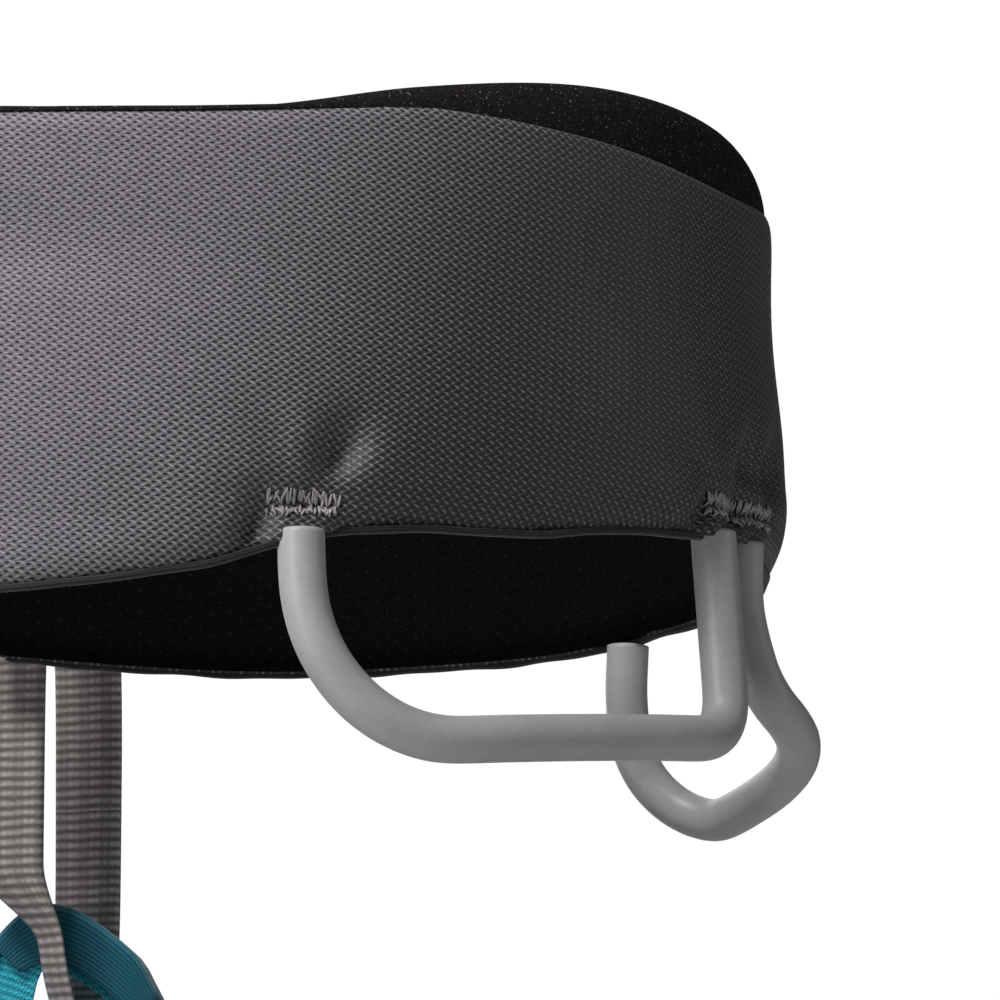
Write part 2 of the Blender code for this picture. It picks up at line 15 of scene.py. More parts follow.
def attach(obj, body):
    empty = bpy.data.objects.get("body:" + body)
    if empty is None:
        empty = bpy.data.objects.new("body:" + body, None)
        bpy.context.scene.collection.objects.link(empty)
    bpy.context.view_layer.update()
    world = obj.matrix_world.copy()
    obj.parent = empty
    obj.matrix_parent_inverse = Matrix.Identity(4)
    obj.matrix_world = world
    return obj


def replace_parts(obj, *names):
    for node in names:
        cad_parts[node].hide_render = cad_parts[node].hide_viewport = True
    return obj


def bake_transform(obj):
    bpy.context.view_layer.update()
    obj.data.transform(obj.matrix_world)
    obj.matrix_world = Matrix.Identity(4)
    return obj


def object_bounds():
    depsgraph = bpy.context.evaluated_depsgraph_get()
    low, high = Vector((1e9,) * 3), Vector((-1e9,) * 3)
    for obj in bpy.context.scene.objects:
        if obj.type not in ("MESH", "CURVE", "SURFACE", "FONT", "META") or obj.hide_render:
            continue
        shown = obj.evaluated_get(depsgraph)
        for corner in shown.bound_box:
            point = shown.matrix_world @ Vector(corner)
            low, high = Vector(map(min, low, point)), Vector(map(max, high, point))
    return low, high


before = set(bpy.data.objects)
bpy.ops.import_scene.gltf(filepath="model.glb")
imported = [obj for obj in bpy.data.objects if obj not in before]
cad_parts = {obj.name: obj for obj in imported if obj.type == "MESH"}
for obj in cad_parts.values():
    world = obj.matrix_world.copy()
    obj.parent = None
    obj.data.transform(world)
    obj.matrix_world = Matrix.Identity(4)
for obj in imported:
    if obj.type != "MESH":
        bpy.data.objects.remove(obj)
CAD_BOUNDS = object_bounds()

MM = 0.001
UP = np.array((0.0, 0.0, 1.0))

# --- The belt's shape, as the CAD model has it ---

BELT_HALF_WIDTH, BELT_HALF_DEPTH, BELT_LEAN = 165.0, 108.0, 0.035
LEFT_PAD_END, RIGHT_PAD_END = -149.0, 188.0
WALL = 10.6
BOTTOM_EDGE = (
    (0, -55), (10, -52), (17, -49), (24, -43.3), (31, -40.6), (43, -39.8), (52, -37.3), (71, -35.3),
    (95, -38.5), (113, -42.5), (136, -46.5), (165, -44), (190, -38),
)
SHELL_TOP = (
    (0, 42.3), (15, 43.2), (34, 45.8), (50, 43.6), (70, 39), (90, 40.5), (130, 35), (190, 24),
)
LINER_TOP = (
    (0, 43.3), (20, 44), (34, 51), (50, 56), (71, 55), (93, 48), (130, 40), (190, 27),
)
REAR_LOOP = {
    "gentle": 24.3, "tight": 67.7, "gentle_bar": -83.0, "tight_bar": -78.7,
    "along": 29.0, "down": 32.0, "radius": 10.0, "slant": -2.7, "flare": 0.12, "curl": 0.0,
}
FRONT_LOOP = {
    "gentle": 125.5, "tight": 74.6, "gentle_bar": -84.5, "tight_bar": -70.2,
    "along": 19.5, "down": 20.0, "radius": 9.0, "slant": -2.3, "flare": -0.18, "curl": 0.01,
}
SLEEVE_RADIUS = 4.75


def through(stations, bearing):
    """A smooth curve through stations that are the same to the left and to the right."""
    bearing = np.abs(np.asarray(bearing, float))
    places, values = np.array(stations, float).T
    slopes = np.gradient(values, places)
    i = np.clip(np.searchsorted(places, bearing) - 1, 0, len(places) - 2)
    wide = places[i + 1] - places[i]
    t = np.clip((bearing - places[i]) / wide, 0, 1)
    rise = (2 * t**3 - 3 * t**2 + 1) * values[i] + (3 * t**2 - 2 * t**3) * values[i + 1]
    return rise + wide * ((t**3 - 2 * t**2 + t) * slopes[i] + (t**3 - t**2) * slopes[i + 1])


def ring(bearing):
    """The belt line's points and outward and forward directions, in plan, as rows of three."""
    turn = np.radians(np.asarray(bearing, float))
    zero = np.zeros_like(turn)
    point = np.stack((-BELT_HALF_WIDTH * np.sin(turn), BELT_HALF_DEPTH * np.cos(turn), zero), -1)
    ahead = np.stack((-BELT_HALF_WIDTH * np.cos(turn), -BELT_HALF_DEPTH * np.sin(turn), zero), -1)
    ahead /= np.linalg.norm(ahead, axis=-1, keepdims=True)
    outward = np.stack((ahead[..., 1], -ahead[..., 0], zero), -1)
    outward *= np.sign((outward * point).sum(-1, keepdims=True))
    return point, outward, ahead


DENSE = np.linspace(-200, 200, 1601)
DENSE_POINTS = ring(DENSE)[0]
DENSE_LENGTHS = np.concatenate(
    ([0], np.cumsum(np.linalg.norm(np.diff(DENSE_POINTS, axis=0), axis=1)))
)


def along_belt(bearing):
    """The belt line's length from the middle of the back, in mm."""
    return np.interp(bearing, DENSE, DENSE_LENGTHS) - np.interp(0, DENSE, DENSE_LENGTHS)


def bearing_at(length):
    return np.interp(length + np.interp(0, DENSE, DENSE_LENGTHS), DENSE_LENGTHS, DENSE)


def belt_points(bearing, height, depth):
    """Points at a depth inside the belt's outer line, for arrays of the same shape."""
    point, outward, _ = ring(bearing)
    out = -depth - BELT_LEAN * height
    return point + outward * out[..., None] + UP * np.asarray(height)[..., None]


# --- Mesh tools ---


def grid_mesh(name, points, uv, closed_u=False, closed_v=False):
    """A quad surface from an array of points, u by v by 3, with texture coordinates in mm."""
    nu, nv = points.shape[:2]
    index = np.arange(nu * nv).reshape(nu, nv)
    rows = np.concatenate((index, index[:1])) if closed_u else index
    rows = np.concatenate((rows, rows[:, :1]), 1) if closed_v else rows
    quads = np.stack((rows[:-1, :-1], rows[1:, :-1], rows[1:, 1:], rows[:-1, 1:]), -1)
    mesh = bpy.data.meshes.new(name)
    mesh.from_pydata((points.reshape(-1, 3) * MM).tolist(), [], quads.reshape(-1, 4).tolist())
    uv_rows = np.concatenate((uv, 2 * uv[-1:] - uv[-2:-1]), 0) if closed_u else uv
    if closed_v:
        uv_rows = np.concatenate((uv_rows, 2 * uv_rows[:, -1:] - uv_rows[:, -2:-1]), 1)
    corners = np.stack((uv_rows[:-1, :-1], uv_rows[1:, :-1], uv_rows[1:, 1:], uv_rows[:-1, 1:]), -2)
    layer = mesh.uv_layers.new(name="mm")
    layer.data.foreach_set("uv", corners.reshape(-1).astype(np.float32))
    mesh.shade_smooth()
    return mesh


def add(name, mesh, material, body):
    """Puts a mesh in the scene, with its material, and says which body it rides on."""
    obj = bpy.data.objects.new(name, mesh)
    bpy.context.scene.collection.objects.link(obj)
    mesh.materials.append(material)
    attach(obj, body)
    return obj


def thicken(obj, thickness, offset=-1.0):
    modifier = obj.modifiers.new("Thickness", "SOLIDIFY")
    modifier.thickness = thickness * MM
    modifier.offset = offset


def unit(vectors):
    return vectors / np.linalg.norm(vectors, axis=-1, keepdims=True)


def smooth_path(points, count, closed=False):
    """An even run of points along a smooth curve through the given ones."""
    points = np.asarray(points, float)
    if closed:
        run = np.concatenate((points[-1:], points, points[:2]))
    else:
        first, last = 2 * points[0] - points[1], 2 * points[-1] - points[-2]
        run = np.concatenate((first[None], points, last[None]))
    t = np.linspace(0, 1, 12, endpoint=False)[:, None]
    pieces = []
    for a, b, c, d in zip(run, run[1:], run[2:], run[3:]):
        cubic = 2 * b + (c - a) * t + (2 * a - 5 * b + 4 * c - d) * t**2
        pieces.append((cubic + (3 * b - a - 3 * c + d) * t**3) / 2)
    dense = np.concatenate(pieces + [points[:1] if closed else points[-1:]])
    lengths = np.concatenate(([0], np.cumsum(np.linalg.norm(np.diff(dense, axis=0), axis=1))))
    places = np.linspace(0, lengths[-1], count + 1)[:-1] if closed else np.linspace(0, lengths[-1], count)
    return np.stack([np.interp(places, lengths, dense[:, i]) for i in range(3)], -1)


def tangents(path, closed=False):
    if closed:
        return unit(np.roll(path, -1, 0) - np.roll(path, 1, 0))
    return unit(np.gradient(path, axis=0))


def swept(name, path, across, section, closed=False, ends=0.0):
    """A section, in across and outward steps, carried along a path. Open ends close over `ends` mm."""
    ahead = tangents(path, closed)
    across = unit(across - ahead * (across * ahead).sum(-1, keepdims=True))
    over = np.cross(ahead, across)
    section = np.asarray(section, float)
    scale = np.ones(len(path))
    steps = np.linalg.norm(np.diff(path, axis=0), axis=1)
    lengths = np.concatenate(([0], np.cumsum(steps)))
    if not closed and ends:
        near = np.minimum(lengths, lengths[-1] - lengths)
        scale = np.sqrt(np.clip(1 - (1 - np.clip(near / ends, 0, 1)) ** 2, 0.0004, 1))
    points = path[:, None] + scale[:, None, None] * (
        across[:, None] * section[None, :, :1] + over[:, None] * section[None, :, 1:]
    )
    around = np.linalg.norm(np.diff(section, axis=0, append=section[:1]), axis=1)
    around = np.concatenate(([0], np.cumsum(around)[:-1]))
    uv = np.stack(np.broadcast_arrays(lengths[:, None], around[None]), -1)
    return grid_mesh(name, points, uv, closed, True)


def capped(mesh):
    """Closes the two open ends of a swept mesh."""
    bm = bmesh.new()
    bm.from_mesh(mesh)
    bmesh.ops.holes_fill(bm, edges=[edge for edge in bm.edges if edge.is_boundary], sides=0)
    bmesh.ops.recalc_face_normals(bm, faces=bm.faces)
    bm.to_mesh(mesh)
    bm.free()
    return mesh


def rounded_section(width, thickness, corner=None, steps=4):
    """A rectangle with round corners, as points at most 1.4 mm or so apart."""
    corner = corner or thickness * 0.45
    section = []
    for centre_x, centre_y, start in (
        (1, 1, 0), (-1, 1, 90), (-1, -1, 180), (1, -1, 270),
    ):
        for turn in np.radians(start + np.linspace(0, 90, steps)):
            x = centre_x * (width / 2 - corner) + corner * math.cos(turn)
            y = centre_y * (thickness / 2 - corner) + corner * math.sin(turn)
            section.append((x, y))
    full = []
    for a, b in zip(section, section[1:] + section[:1]):
        full.append(a)
        reach = math.dist(a, b)
        for share in np.linspace(0, 1, int(reach / 1.4) + 1)[1:-1]:
            full.append((a[0] + (b[0] - a[0]) * share, a[1] + (b[1] - a[1]) * share))
    return full


def circle_section(radius, sides):
    turns = np.linspace(0, 2 * np.pi, sides, endpoint=False)
    return [(radius * math.cos(turn), radius * math.sin(turn)) for turn in turns]


# --- Materials ---


class Graph:
    """Builds one material's nodes. A value may be a number, a colour or another node's output."""

    def __init__(self, name, roughness=0.8, specular=0.3, metallic=0.0, sheen=0.0):
        self.material = bpy.data.materials.new(name)
        self.material.use_nodes = True
        self.tree = self.material.node_tree
        self.shader = self.tree.nodes["Principled BSDF"]
        self.shader.inputs["Roughness"].default_value = roughness
        self.shader.inputs["Specular IOR Level"].default_value = specular
        self.shader.inputs["Metallic"].default_value = metallic
        self.shader.inputs["Sheen Weight"].default_value = sheen
        self.shader.inputs["Sheen Roughness"].default_value = 0.5

    def put(self, socket, value):
        if isinstance(value, bpy.types.NodeSocket):
            self.tree.links.new(value, socket)
        elif isinstance(value, tuple) and len(value) == 3 and socket.type == "RGBA":
            socket.default_value = (*value, 1.0)
        else:
            socket.default_value = value

    def math(self, operation, *values, clamp=False):
        node = self.tree.nodes.new("ShaderNodeMath")
        node.operation = operation
        node.use_clamp = clamp
        for socket, value in zip(node.inputs, values):
            self.put(socket, value)
        return node.outputs[0]

    def mix(self, share, low, high):
        node = self.tree.nodes.new("ShaderNodeMix")
        node.data_type = "RGBA"
        self.put(node.inputs[0], share)
        self.put(node.inputs[6], low)
        self.put(node.inputs[7], high)
        return node.outputs[2]

    def ramp(self, value, low, high):
        """0 below low and 1 above high, with a smooth step between."""
        node = self.tree.nodes.new("ShaderNodeMapRange")
        node.interpolation_type = "SMOOTHSTEP"
        for socket, number in zip(node.inputs, (value, low, high, 0.0, 1.0)):
            self.put(socket, number)
        return node.outputs[0]

    def uv(self):
        """The texture coordinates along and across, in mm."""
        node = self.tree.nodes.new("ShaderNodeUVMap")
        node.uv_map = "mm"
        split = self.tree.nodes.new("ShaderNodeSeparateXYZ")
        self.tree.links.new(node.outputs[0], split.inputs[0])
        return split.outputs[0], split.outputs[1]

    def place(self):
        return self.tree.nodes.new("ShaderNodeTexCoord").outputs["Object"]

    def noise(self, scale, detail=2.0, vector=None, roughness=0.5, stretch=None):
        """Noise at a scale in waves per metre, from -0.5 to 0.5 or so."""
        node = self.tree.nodes.new("ShaderNodeTexNoise")
        node.inputs["Scale"].default_value = scale
        node.inputs["Detail"].default_value = detail
        node.inputs["Roughness"].default_value = roughness
        vector = vector or self.place()
        if stretch:
            mapping = self.tree.nodes.new("ShaderNodeMapping")
            mapping.inputs["Scale"].default_value = stretch
            self.tree.links.new(vector, mapping.inputs["Vector"])
            vector = mapping.outputs[0]
        self.tree.links.new(vector, node.inputs["Vector"])
        return self.math("SUBTRACT", node.outputs["Fac"], 0.5)

    def pair(self, x, y):
        node = self.tree.nodes.new("ShaderNodeCombineXYZ")
        self.put(node.inputs[0], x)
        self.put(node.inputs[1], y)
        return node.outputs[0]

    def wave(self, value, period, shift=0.0):
        """A cosine of that period, from -1 to 1."""
        turn = self.math("MULTIPLY", value, 2 * math.pi / period)
        return self.math("COSINE", self.math("ADD", turn, shift))

    def finish(self, colour, height=None, distance=0.2, strength=1.0, roughness=None):
        self.put(self.shader.inputs["Base Color"], colour)
        if roughness is not None:
            self.put(self.shader.inputs["Roughness"], roughness)
        if height is not None:
            bump = self.tree.nodes.new("ShaderNodeBump")
            bump.inputs["Strength"].default_value = strength
            bump.inputs["Distance"].default_value = distance * MM
            self.tree.links.new(height, bump.inputs["Height"])
            self.tree.links.new(bump.outputs[0], self.shader.inputs["Normal"])
        return self.material


def scaled(colour, share):
    return tuple(channel * share for channel in colour)


# The shell's weave, in mm: short floats in staggered rows, with a hole at the end of each.
WEAVE_PITCH, WEAVE_ROW, WEAVE_TURN = 2.1, 0.84, 0.09


def woven(name, light, dark, closed=0.5, opening_and_shade_span=(25.0, 125.0)):
    """Coarse cloth whose floats lean one way in every other row and the other way between.

    Closed is how light the ground between the floats is at the middle of the back. This light ground is
    partly painted light, a painted sheen. The ground turns dark where the cloth is stretched, between the
    two distances along the belt. This darkening is partly the weave opening and partly painted shade for
    the light that falls off as the belt turns away at the sides.
    """
    g = Graph(name, roughness=0.5, specular=0.4, sheen=0.1)
    u, v = g.uv()
    # stretch is partly painted shade: it darkens the cloth from the middle of the back towards the sides.
    stretch = g.ramp(g.math("ADD", g.math("ABSOLUTE", u), g.math("MULTIPLY", v, -0.6)), *opening_and_shade_span)
    drift = g.math("MULTIPLY", g.noise(110.0, 1.0), 0.5)
    across = g.math("ADD", g.math("SUBTRACT", u, g.math("MULTIPLY", v, WEAVE_TURN)), drift)
    up = g.math("ADD", v, g.math("MULTIPLY", u, WEAVE_TURN))
    row = g.math("DIVIDE", g.math("ADD", up, g.math("MULTIPLY", drift, 0.5)), WEAVE_ROW)
    odd = g.math("FLOORED_MODULO", g.math("FLOOR", row), 2.0)
    y = g.math("MULTIPLY", g.math("SUBTRACT", g.math("FRACT", row), 0.5), WEAVE_ROW)
    cell = g.math("MULTIPLY_ADD", odd, 0.5, g.math("DIVIDE", across, WEAVE_PITCH))
    x = g.math("MULTIPLY", g.math("SUBTRACT", g.math("FRACT", cell), 0.5), WEAVE_PITCH)
    lean = g.math("MULTIPLY_ADD", odd, -0.62, 0.36)
    half_height = g.math("MULTIPLY_ADD", odd, -0.04, 0.27)
    half_length = g.math("MULTIPLY_ADD", odd, -0.25, 1.0)
    float_y = g.math("DIVIDE", g.math("MULTIPLY_ADD", x, lean, y), half_height)
    float_x = g.math("DIVIDE", x, half_length)
    reach = g.math("ADD", g.math("MULTIPLY", float_x, float_x), g.math("MULTIPLY", float_y, float_y))
    dash = g.math("SUBTRACT", 1.0, g.ramp(reach, 0.25, 1.15))
    dash = g.math("MULTIPLY", dash, g.math("MULTIPLY_ADD", odd, -0.35, 1.0))
    end = g.math("SUBTRACT", g.math("FRACT", g.math("SUBTRACT", cell, 0.44)), 0.5)
    # The holes grow with stretch, partly as the weave opening and partly as painted shade.
    hole_length = g.math("MULTIPLY_ADD", stretch, 0.35, 0.62)
    hole_height = g.math("MULTIPLY_ADD", stretch, 0.2, 0.24)
    hole_x = g.math("DIVIDE", g.math("MULTIPLY", end, WEAVE_PITCH), hole_length)
    hole_y = g.math("DIVIDE", g.math("ADD", y, 0.1), hole_height)
    hole = g.math("ADD", g.math("MULTIPLY", hole_x, hole_x), g.math("MULTIPLY", hole_y, hole_y))
    hole = g.math("SUBTRACT", 1.0, g.ramp(hole, 0.2, 1.2))
    fibre = g.noise(2400.0, 2.0, stretch=(1.0, 1.0, 3.0))
    patch = g.noise(420.0, 2.0)
    # Painted light and shade: the ground is light at the middle of the back and dark towards the sides, and
    # the floats are dulled there too.
    ground_with_painted_light = g.math("MULTIPLY_ADD", stretch, 0.03 - closed, closed)
    dash = g.math("MULTIPLY", dash, g.math("MULTIPLY_ADD", stretch, -0.5, 1.0))
    tone = g.math("ADD", ground_with_painted_light, g.math("MULTIPLY", dash, g.math("SUBTRACT", 1.0, ground_with_painted_light)))
    tone = g.math("MULTIPLY", tone, g.math("MULTIPLY_ADD", hole, -0.96, 1.0))
    tone = g.math("MULTIPLY", tone, g.math("MULTIPLY_ADD", fibre, 0.5, 1.0))
    tone = g.math("MULTIPLY", tone, g.math("MULTIPLY_ADD", patch, 0.45, 1.0), clamp=True)
    height = g.math("SUBTRACT", g.math("ADD", dash, g.math("MULTIPLY", fibre, 0.15)), hole)
    return g.finish(g.mix(tone, dark, light), height, 0.16, 0.75)


def knitted(name, colour, glint, pitch=0.0):
    """Fine dark knit with scattered specks painted as glints and, with a pitch, rows of tiny holes painted
    as glints.
    """
    g = Graph(name, roughness=0.9, specular=0.06)
    fuzz = g.noise(2300.0, 3.0)
    # Painted glints: scattered specks of the glint colour.
    glint_speck = g.ramp(g.noise(1700.0, 1.0), 0.17, 0.27)
    shade = g.mix(g.ramp(fuzz, -0.2, 0.3), scaled(colour, 0.4), scaled(colour, 1.9))
    height = fuzz
    colour = g.mix(glint_speck, shade, glint)
    if pitch:
        u, v = g.uv()
        # The holes are painted in the glint colour, as glints.
        across = g.math("MULTIPLY", g.wave(u, pitch), g.wave(v, pitch))
        hole = g.ramp(across, 0.86, 0.96)
        colour = g.mix(hole, colour, glint)
        height = g.math("SUBTRACT", height, g.math("MULTIPLY", hole, 2.0))
    return g.finish(colour, height, 0.25, 0.7)


def webbing(name, light, dark, rib=1.35, stripes=5.6):
    """Flat webbing: ribs across it, and stripes that run along it."""
    g = Graph(name, roughness=0.75, specular=0.25, sheen=0.1)
    u, v = g.uv()
    drift = g.math("MULTIPLY", g.noise(160.0, 2.0), 0.9)
    ribs = g.wave(g.math("ADD", u, drift), rib)
    cross = g.wave(v, rib * 0.8, 0.5)
    stripe = g.ramp(g.wave(v, stripes), -0.2, 0.5)
    fibre = g.noise(2600.0, 3.0)
    body = g.math("MULTIPLY_ADD", ribs, 0.5, 0.5)
    body = g.math("MULTIPLY", body, g.math("MULTIPLY_ADD", cross, 0.14, 0.86))
    tone = g.math("MULTIPLY_ADD", stripe, 0.3, 0.62)
    share = g.math("MULTIPLY", g.math("ADD", body, g.math("MULTIPLY", fibre, 0.8)), tone, clamp=True)
    height = g.math("ADD", body, g.math("MULTIPLY_ADD", stripe, 0.35, fibre))
    return g.finish(g.mix(share, dark, light), height, 0.22, 0.9)


def ribbed_along(name, light, dark, pitch=1.1, rim_highlight=None):
    """Tape with cords along its length and a fine weave across them.

    Rim is a painted highlight, a pale band along the tape's fold: the distances across the tape where it
    starts and ends, and its colour.
    """
    g = Graph(name, roughness=0.7, specular=0.3, sheen=0.15)
    u, v = g.uv()
    cords = g.math("MULTIPLY_ADD", g.wave(v, pitch), 0.5, 0.5)
    weave = g.math("MULTIPLY_ADD", g.wave(u, 0.7), 0.5, 0.5)
    fibre = g.noise(2400.0, 2.0)
    body = g.math("MULTIPLY_ADD", weave, 0.3, g.math("MULTIPLY", cords, 0.7))
    share = g.math("ADD", body, g.math("MULTIPLY", fibre, 0.5), clamp=True)
    colour = g.mix(share, dark, light)
    if rim_highlight:
        # Painted highlight: a pale band along the fold of the tape.
        start, end, pale = rim_highlight
        before_end = g.math("SUBTRACT", 1.0, g.ramp(v, end, end + 0.6))
        edge = g.math("MULTIPLY", g.ramp(v, start - 0.6, start), before_end)
        colour = g.mix(edge, colour, g.mix(share, scaled(pale, 0.5), pale))
    return g.finish(colour, body, 0.25, 0.8)


def sleeve_plastic():
    """Matt grey tube, a little mottled, with faint rubbed streaks along it."""
    g = Graph("gear_loop_plastic", roughness=0.46, specular=0.42)
    u, v = g.uv()
    mottle = g.noise(55.0, 4.0, roughness=0.65)
    grain = g.noise(1500.0, 2.0)
    streak = g.noise(1.0, 3.0, vector=g.pair(g.math("MULTIPLY", u, 0.035), g.math("MULTIPLY", v, 0.9)))
    rub = g.ramp(streak, 0.05, 0.3)
    base = g.mix(g.ramp(mottle, -0.25, 0.25), (0.265, 0.257, 0.251), (0.35, 0.339, 0.33))
    base = g.mix(g.math("MULTIPLY", rub, 0.35), base, (0.25, 0.238, 0.228))
    base = g.mix(g.math("MULTIPLY_ADD", grain, 0.5, 0.2, clamp=True), base, (0.44, 0.43, 0.42))
    rough = g.math("MULTIPLY_ADD", mottle, 0.22, 0.45)
    height = g.math("MULTIPLY_ADD", grain, 0.25, g.math("MULTIPLY", mottle, 0.9))
    return g.finish(base, height, 0.12, 0.5, rough)


def metal(name, colour, roughness):
    g = Graph(name, roughness=roughness, specular=0.5, metallic=1.0)
    brush = g.noise(900.0, 3.0, stretch=(0.08, 0.08, 1.0))
    wear = g.noise(140.0, 3.0)
    shade = g.mix(g.ramp(wear, -0.2, 0.3), scaled(colour, 0.8), colour)
    rough = g.math("MULTIPLY_ADD", brush, 0.25, roughness)
    return g.finish(shade, brush, 0.05, 0.5, rough)


def moulded(name, colour, roughness=0.5):
    g = Graph(name, roughness=roughness, specular=0.4)
    grain = g.noise(2500.0, 2.0)
    wear = g.noise(120.0, 3.0)
    shade = g.mix(g.ramp(wear, -0.25, 0.3), scaled(colour, 0.7), scaled(colour, 1.5))
    return g.finish(shade, grain, 0.08, 0.6)


def thread(name, colour):
    g = Graph(name, roughness=0.5, specular=0.4, sheen=0.2)
    twist = g.noise(3200.0, 2.0)
    shade = g.mix(g.ramp(twist, -0.25, 0.25), scaled(colour, 0.45), colour)
    return g.finish(shade, twist, 0.1, 0.6)


# The shell's weave carries painted light at the middle of the back and painted shade towards the sides.
SHELL = woven("shell_fabric", (0.31, 0.288, 0.315), (0.006, 0.0045, 0.0075))
# The liner is the same knit as the roll but far darker: painted shade for the inside of the belt and the
# leg loops. Its holes are painted glints.
LINER_PAINTED_SHADE = knitted("liner_mesh", (0.0018, 0.0012, 0.0018), (0.008, 0.0065, 0.0075), pitch=5.0)
# The roll's bright specks are painted glints.
ROLL_PAINTED_GLINTS = knitted("liner_roll", (0.014, 0.0115, 0.014), (0.2, 0.185, 0.19))
PIPING = ribbed_along("edge_tape", (0.02, 0.014, 0.021), (0.004, 0.003, 0.004), 0.8)
WEBBING = webbing("webbing_grey", (0.52, 0.475, 0.46), (0.13, 0.117, 0.112), 2.3, 5.8)
BAND = webbing("webbing_dark", (0.05, 0.046, 0.05), (0.006, 0.005, 0.006))
SLEEVE = sleeve_plastic()
TEAL = woven("teal_fabric", (0.03, 0.66, 0.82), (0.002, 0.12, 0.19), 0.45, (400.0, 500.0))
# A painted highlight: the pale band where the bridge's tape turns over its edge.
TEAL_RIM_HIGHLIGHT = 17.0, 20.6, (0.03, 0.22, 0.3)
TEAL_TAPE = ribbed_along("teal_tape", (0.004, 0.15, 0.22), (0.001, 0.04, 0.065), 1.15, TEAL_RIM_HIGHLIGHT)
ALUMINIUM = metal("aluminium", (0.62, 0.62, 0.64), 0.34)
PLASTIC = moulded("black_plastic", (0.018, 0.018, 0.02))
ELASTIC = ribbed_along("elastic", (0.045, 0.042, 0.047), (0.008, 0.007, 0.009), 1.3)
STITCH = thread("stitching", (0.4, 0.37, 0.385))

# --- Waist belt ---

END_ROUND, END_DEPTH = 7.0, 4.4
CORNER = 9.0
TACK_HEIGHT, TACK_WIDTH, TACK_STITCHES = 7.0, 13.6, 58
TACKS = [
    turn * loop[end]
    for loop in (REAR_LOOP, FRONT_LOOP)
    for end in ("gentle", "tight")
    for turn in (1, -1)
]
# The seam at the top lies this deep, and the liner's roll reaches from there to the roll's depth.
SEAM_DEPTH, ROLL_DEPTH, ROLL_RADIUS = 1.0, 6.3, 5.0
EDGE_DEPTH, EDGE_ROUND = 4.6, 9.0
LINER_TUCK = 6.0


def pad_ends(bearing):
    """How far each bearing is from the nearer end of the pad, in mm."""
    length = along_belt(bearing)
    return np.minimum(length - along_belt(LEFT_PAD_END), along_belt(RIGHT_PAD_END) - length)


def corner_cut(bearing):
    """How much the pad's edges come in at its rounded front corners."""
    near = np.clip(pad_ends(bearing) / CORNER, 0, 1)
    return CORNER * (1 - np.sqrt(np.clip(1 - (1 - near) ** 2, 0, 1)))


def low_edge(bearing):
    """The pad's low edge, which is drawn up a little towards the front."""
    lift = 1.8 * np.exp(-(((np.abs(bearing) - 132) / 24) ** 4))
    return through(BOTTOM_EDGE, bearing) + corner_cut(bearing) + lift


def seam_height(bearing):
    """Where the shell ends and the liner's rolled edge begins."""
    return through(SHELL_TOP, bearing) - corner_cut(bearing)


def top_edge(bearing):
    """The top of the liner's rolled edge."""
    return np.maximum(through(LINER_TOP, bearing) - corner_cut(bearing), seam_height(bearing) + 0.6)


def quarter(share):
    """0 at a share of 1 and rising to 1 at 0, along a quarter circle."""
    return 1 - np.sqrt(np.clip(1 - (1 - np.clip(share, 0, 1)) ** 2, 0, 1))


def puckers(bearing, height):
    """Dimples where the bar tacks pull the shell in, with short folds that fan out from them."""
    length = along_belt(bearing)
    total = np.zeros_like(length)
    for number, tack in enumerate(TACKS):
        way = np.sign(tack)
        across = (length - along_belt(tack)) * way
        up = height - (through(BOTTOM_EDGE, tack) + TACK_HEIGHT)
        furrow = np.exp(-((across / 8.0) ** 2) - (up / 2.6) ** 2)
        upper = np.exp(-(((across - 7.5) / 5.5) ** 2) - ((up - 6.0 - 0.5 * across) / 6.0) ** 2)
        aside = across + 9.5
        lower = np.exp(-((aside / 3.6) ** 2) - ((up + 4.5 - 0.9 * aside) / 5.5) ** 2)
        total += 2.5 * furrow + 3.4 * upper + 3.2 * lower
        turn = np.arctan2(up, across)
        reach = np.hypot(across / 1.15, up)
        folds = np.cos(6 * turn + number * 1.3) * np.exp(-(((reach - 14) / 7.5) ** 2))
        total += 0.5 * folds * np.clip((up + 4) / 5, 0, 1)
        total -= 1.0 * np.exp(-(((np.abs(across) - 20) / 9) ** 2) - ((up + 1) / 9) ** 2)
    return total


def over_loops(bearing):
    """1 over each gear loop's leg and 0 away from it: the shell's edge arches over the sleeve."""
    length = along_belt(bearing)
    return sum(np.exp(-(((length - along_belt(tack)) / 7.0) ** 4)) for tack in TACKS)


def soft_waves(bearing, height):
    """Slow hollows and swells of a padded sheet."""
    length = along_belt(bearing)
    waves = 0.5 * np.sin(height / 9.5 + 0.6 * np.sin(length / 47.0) + 0.4)
    waves += 0.35 * np.sin(length / 31.0 + 0.05 * height) * np.cos(height / 22.0)
    hollow = 1.3 * np.exp(-(((length + 6) / 34) ** 2) - ((height - 19) / 5.5) ** 2)
    return waves + hollow


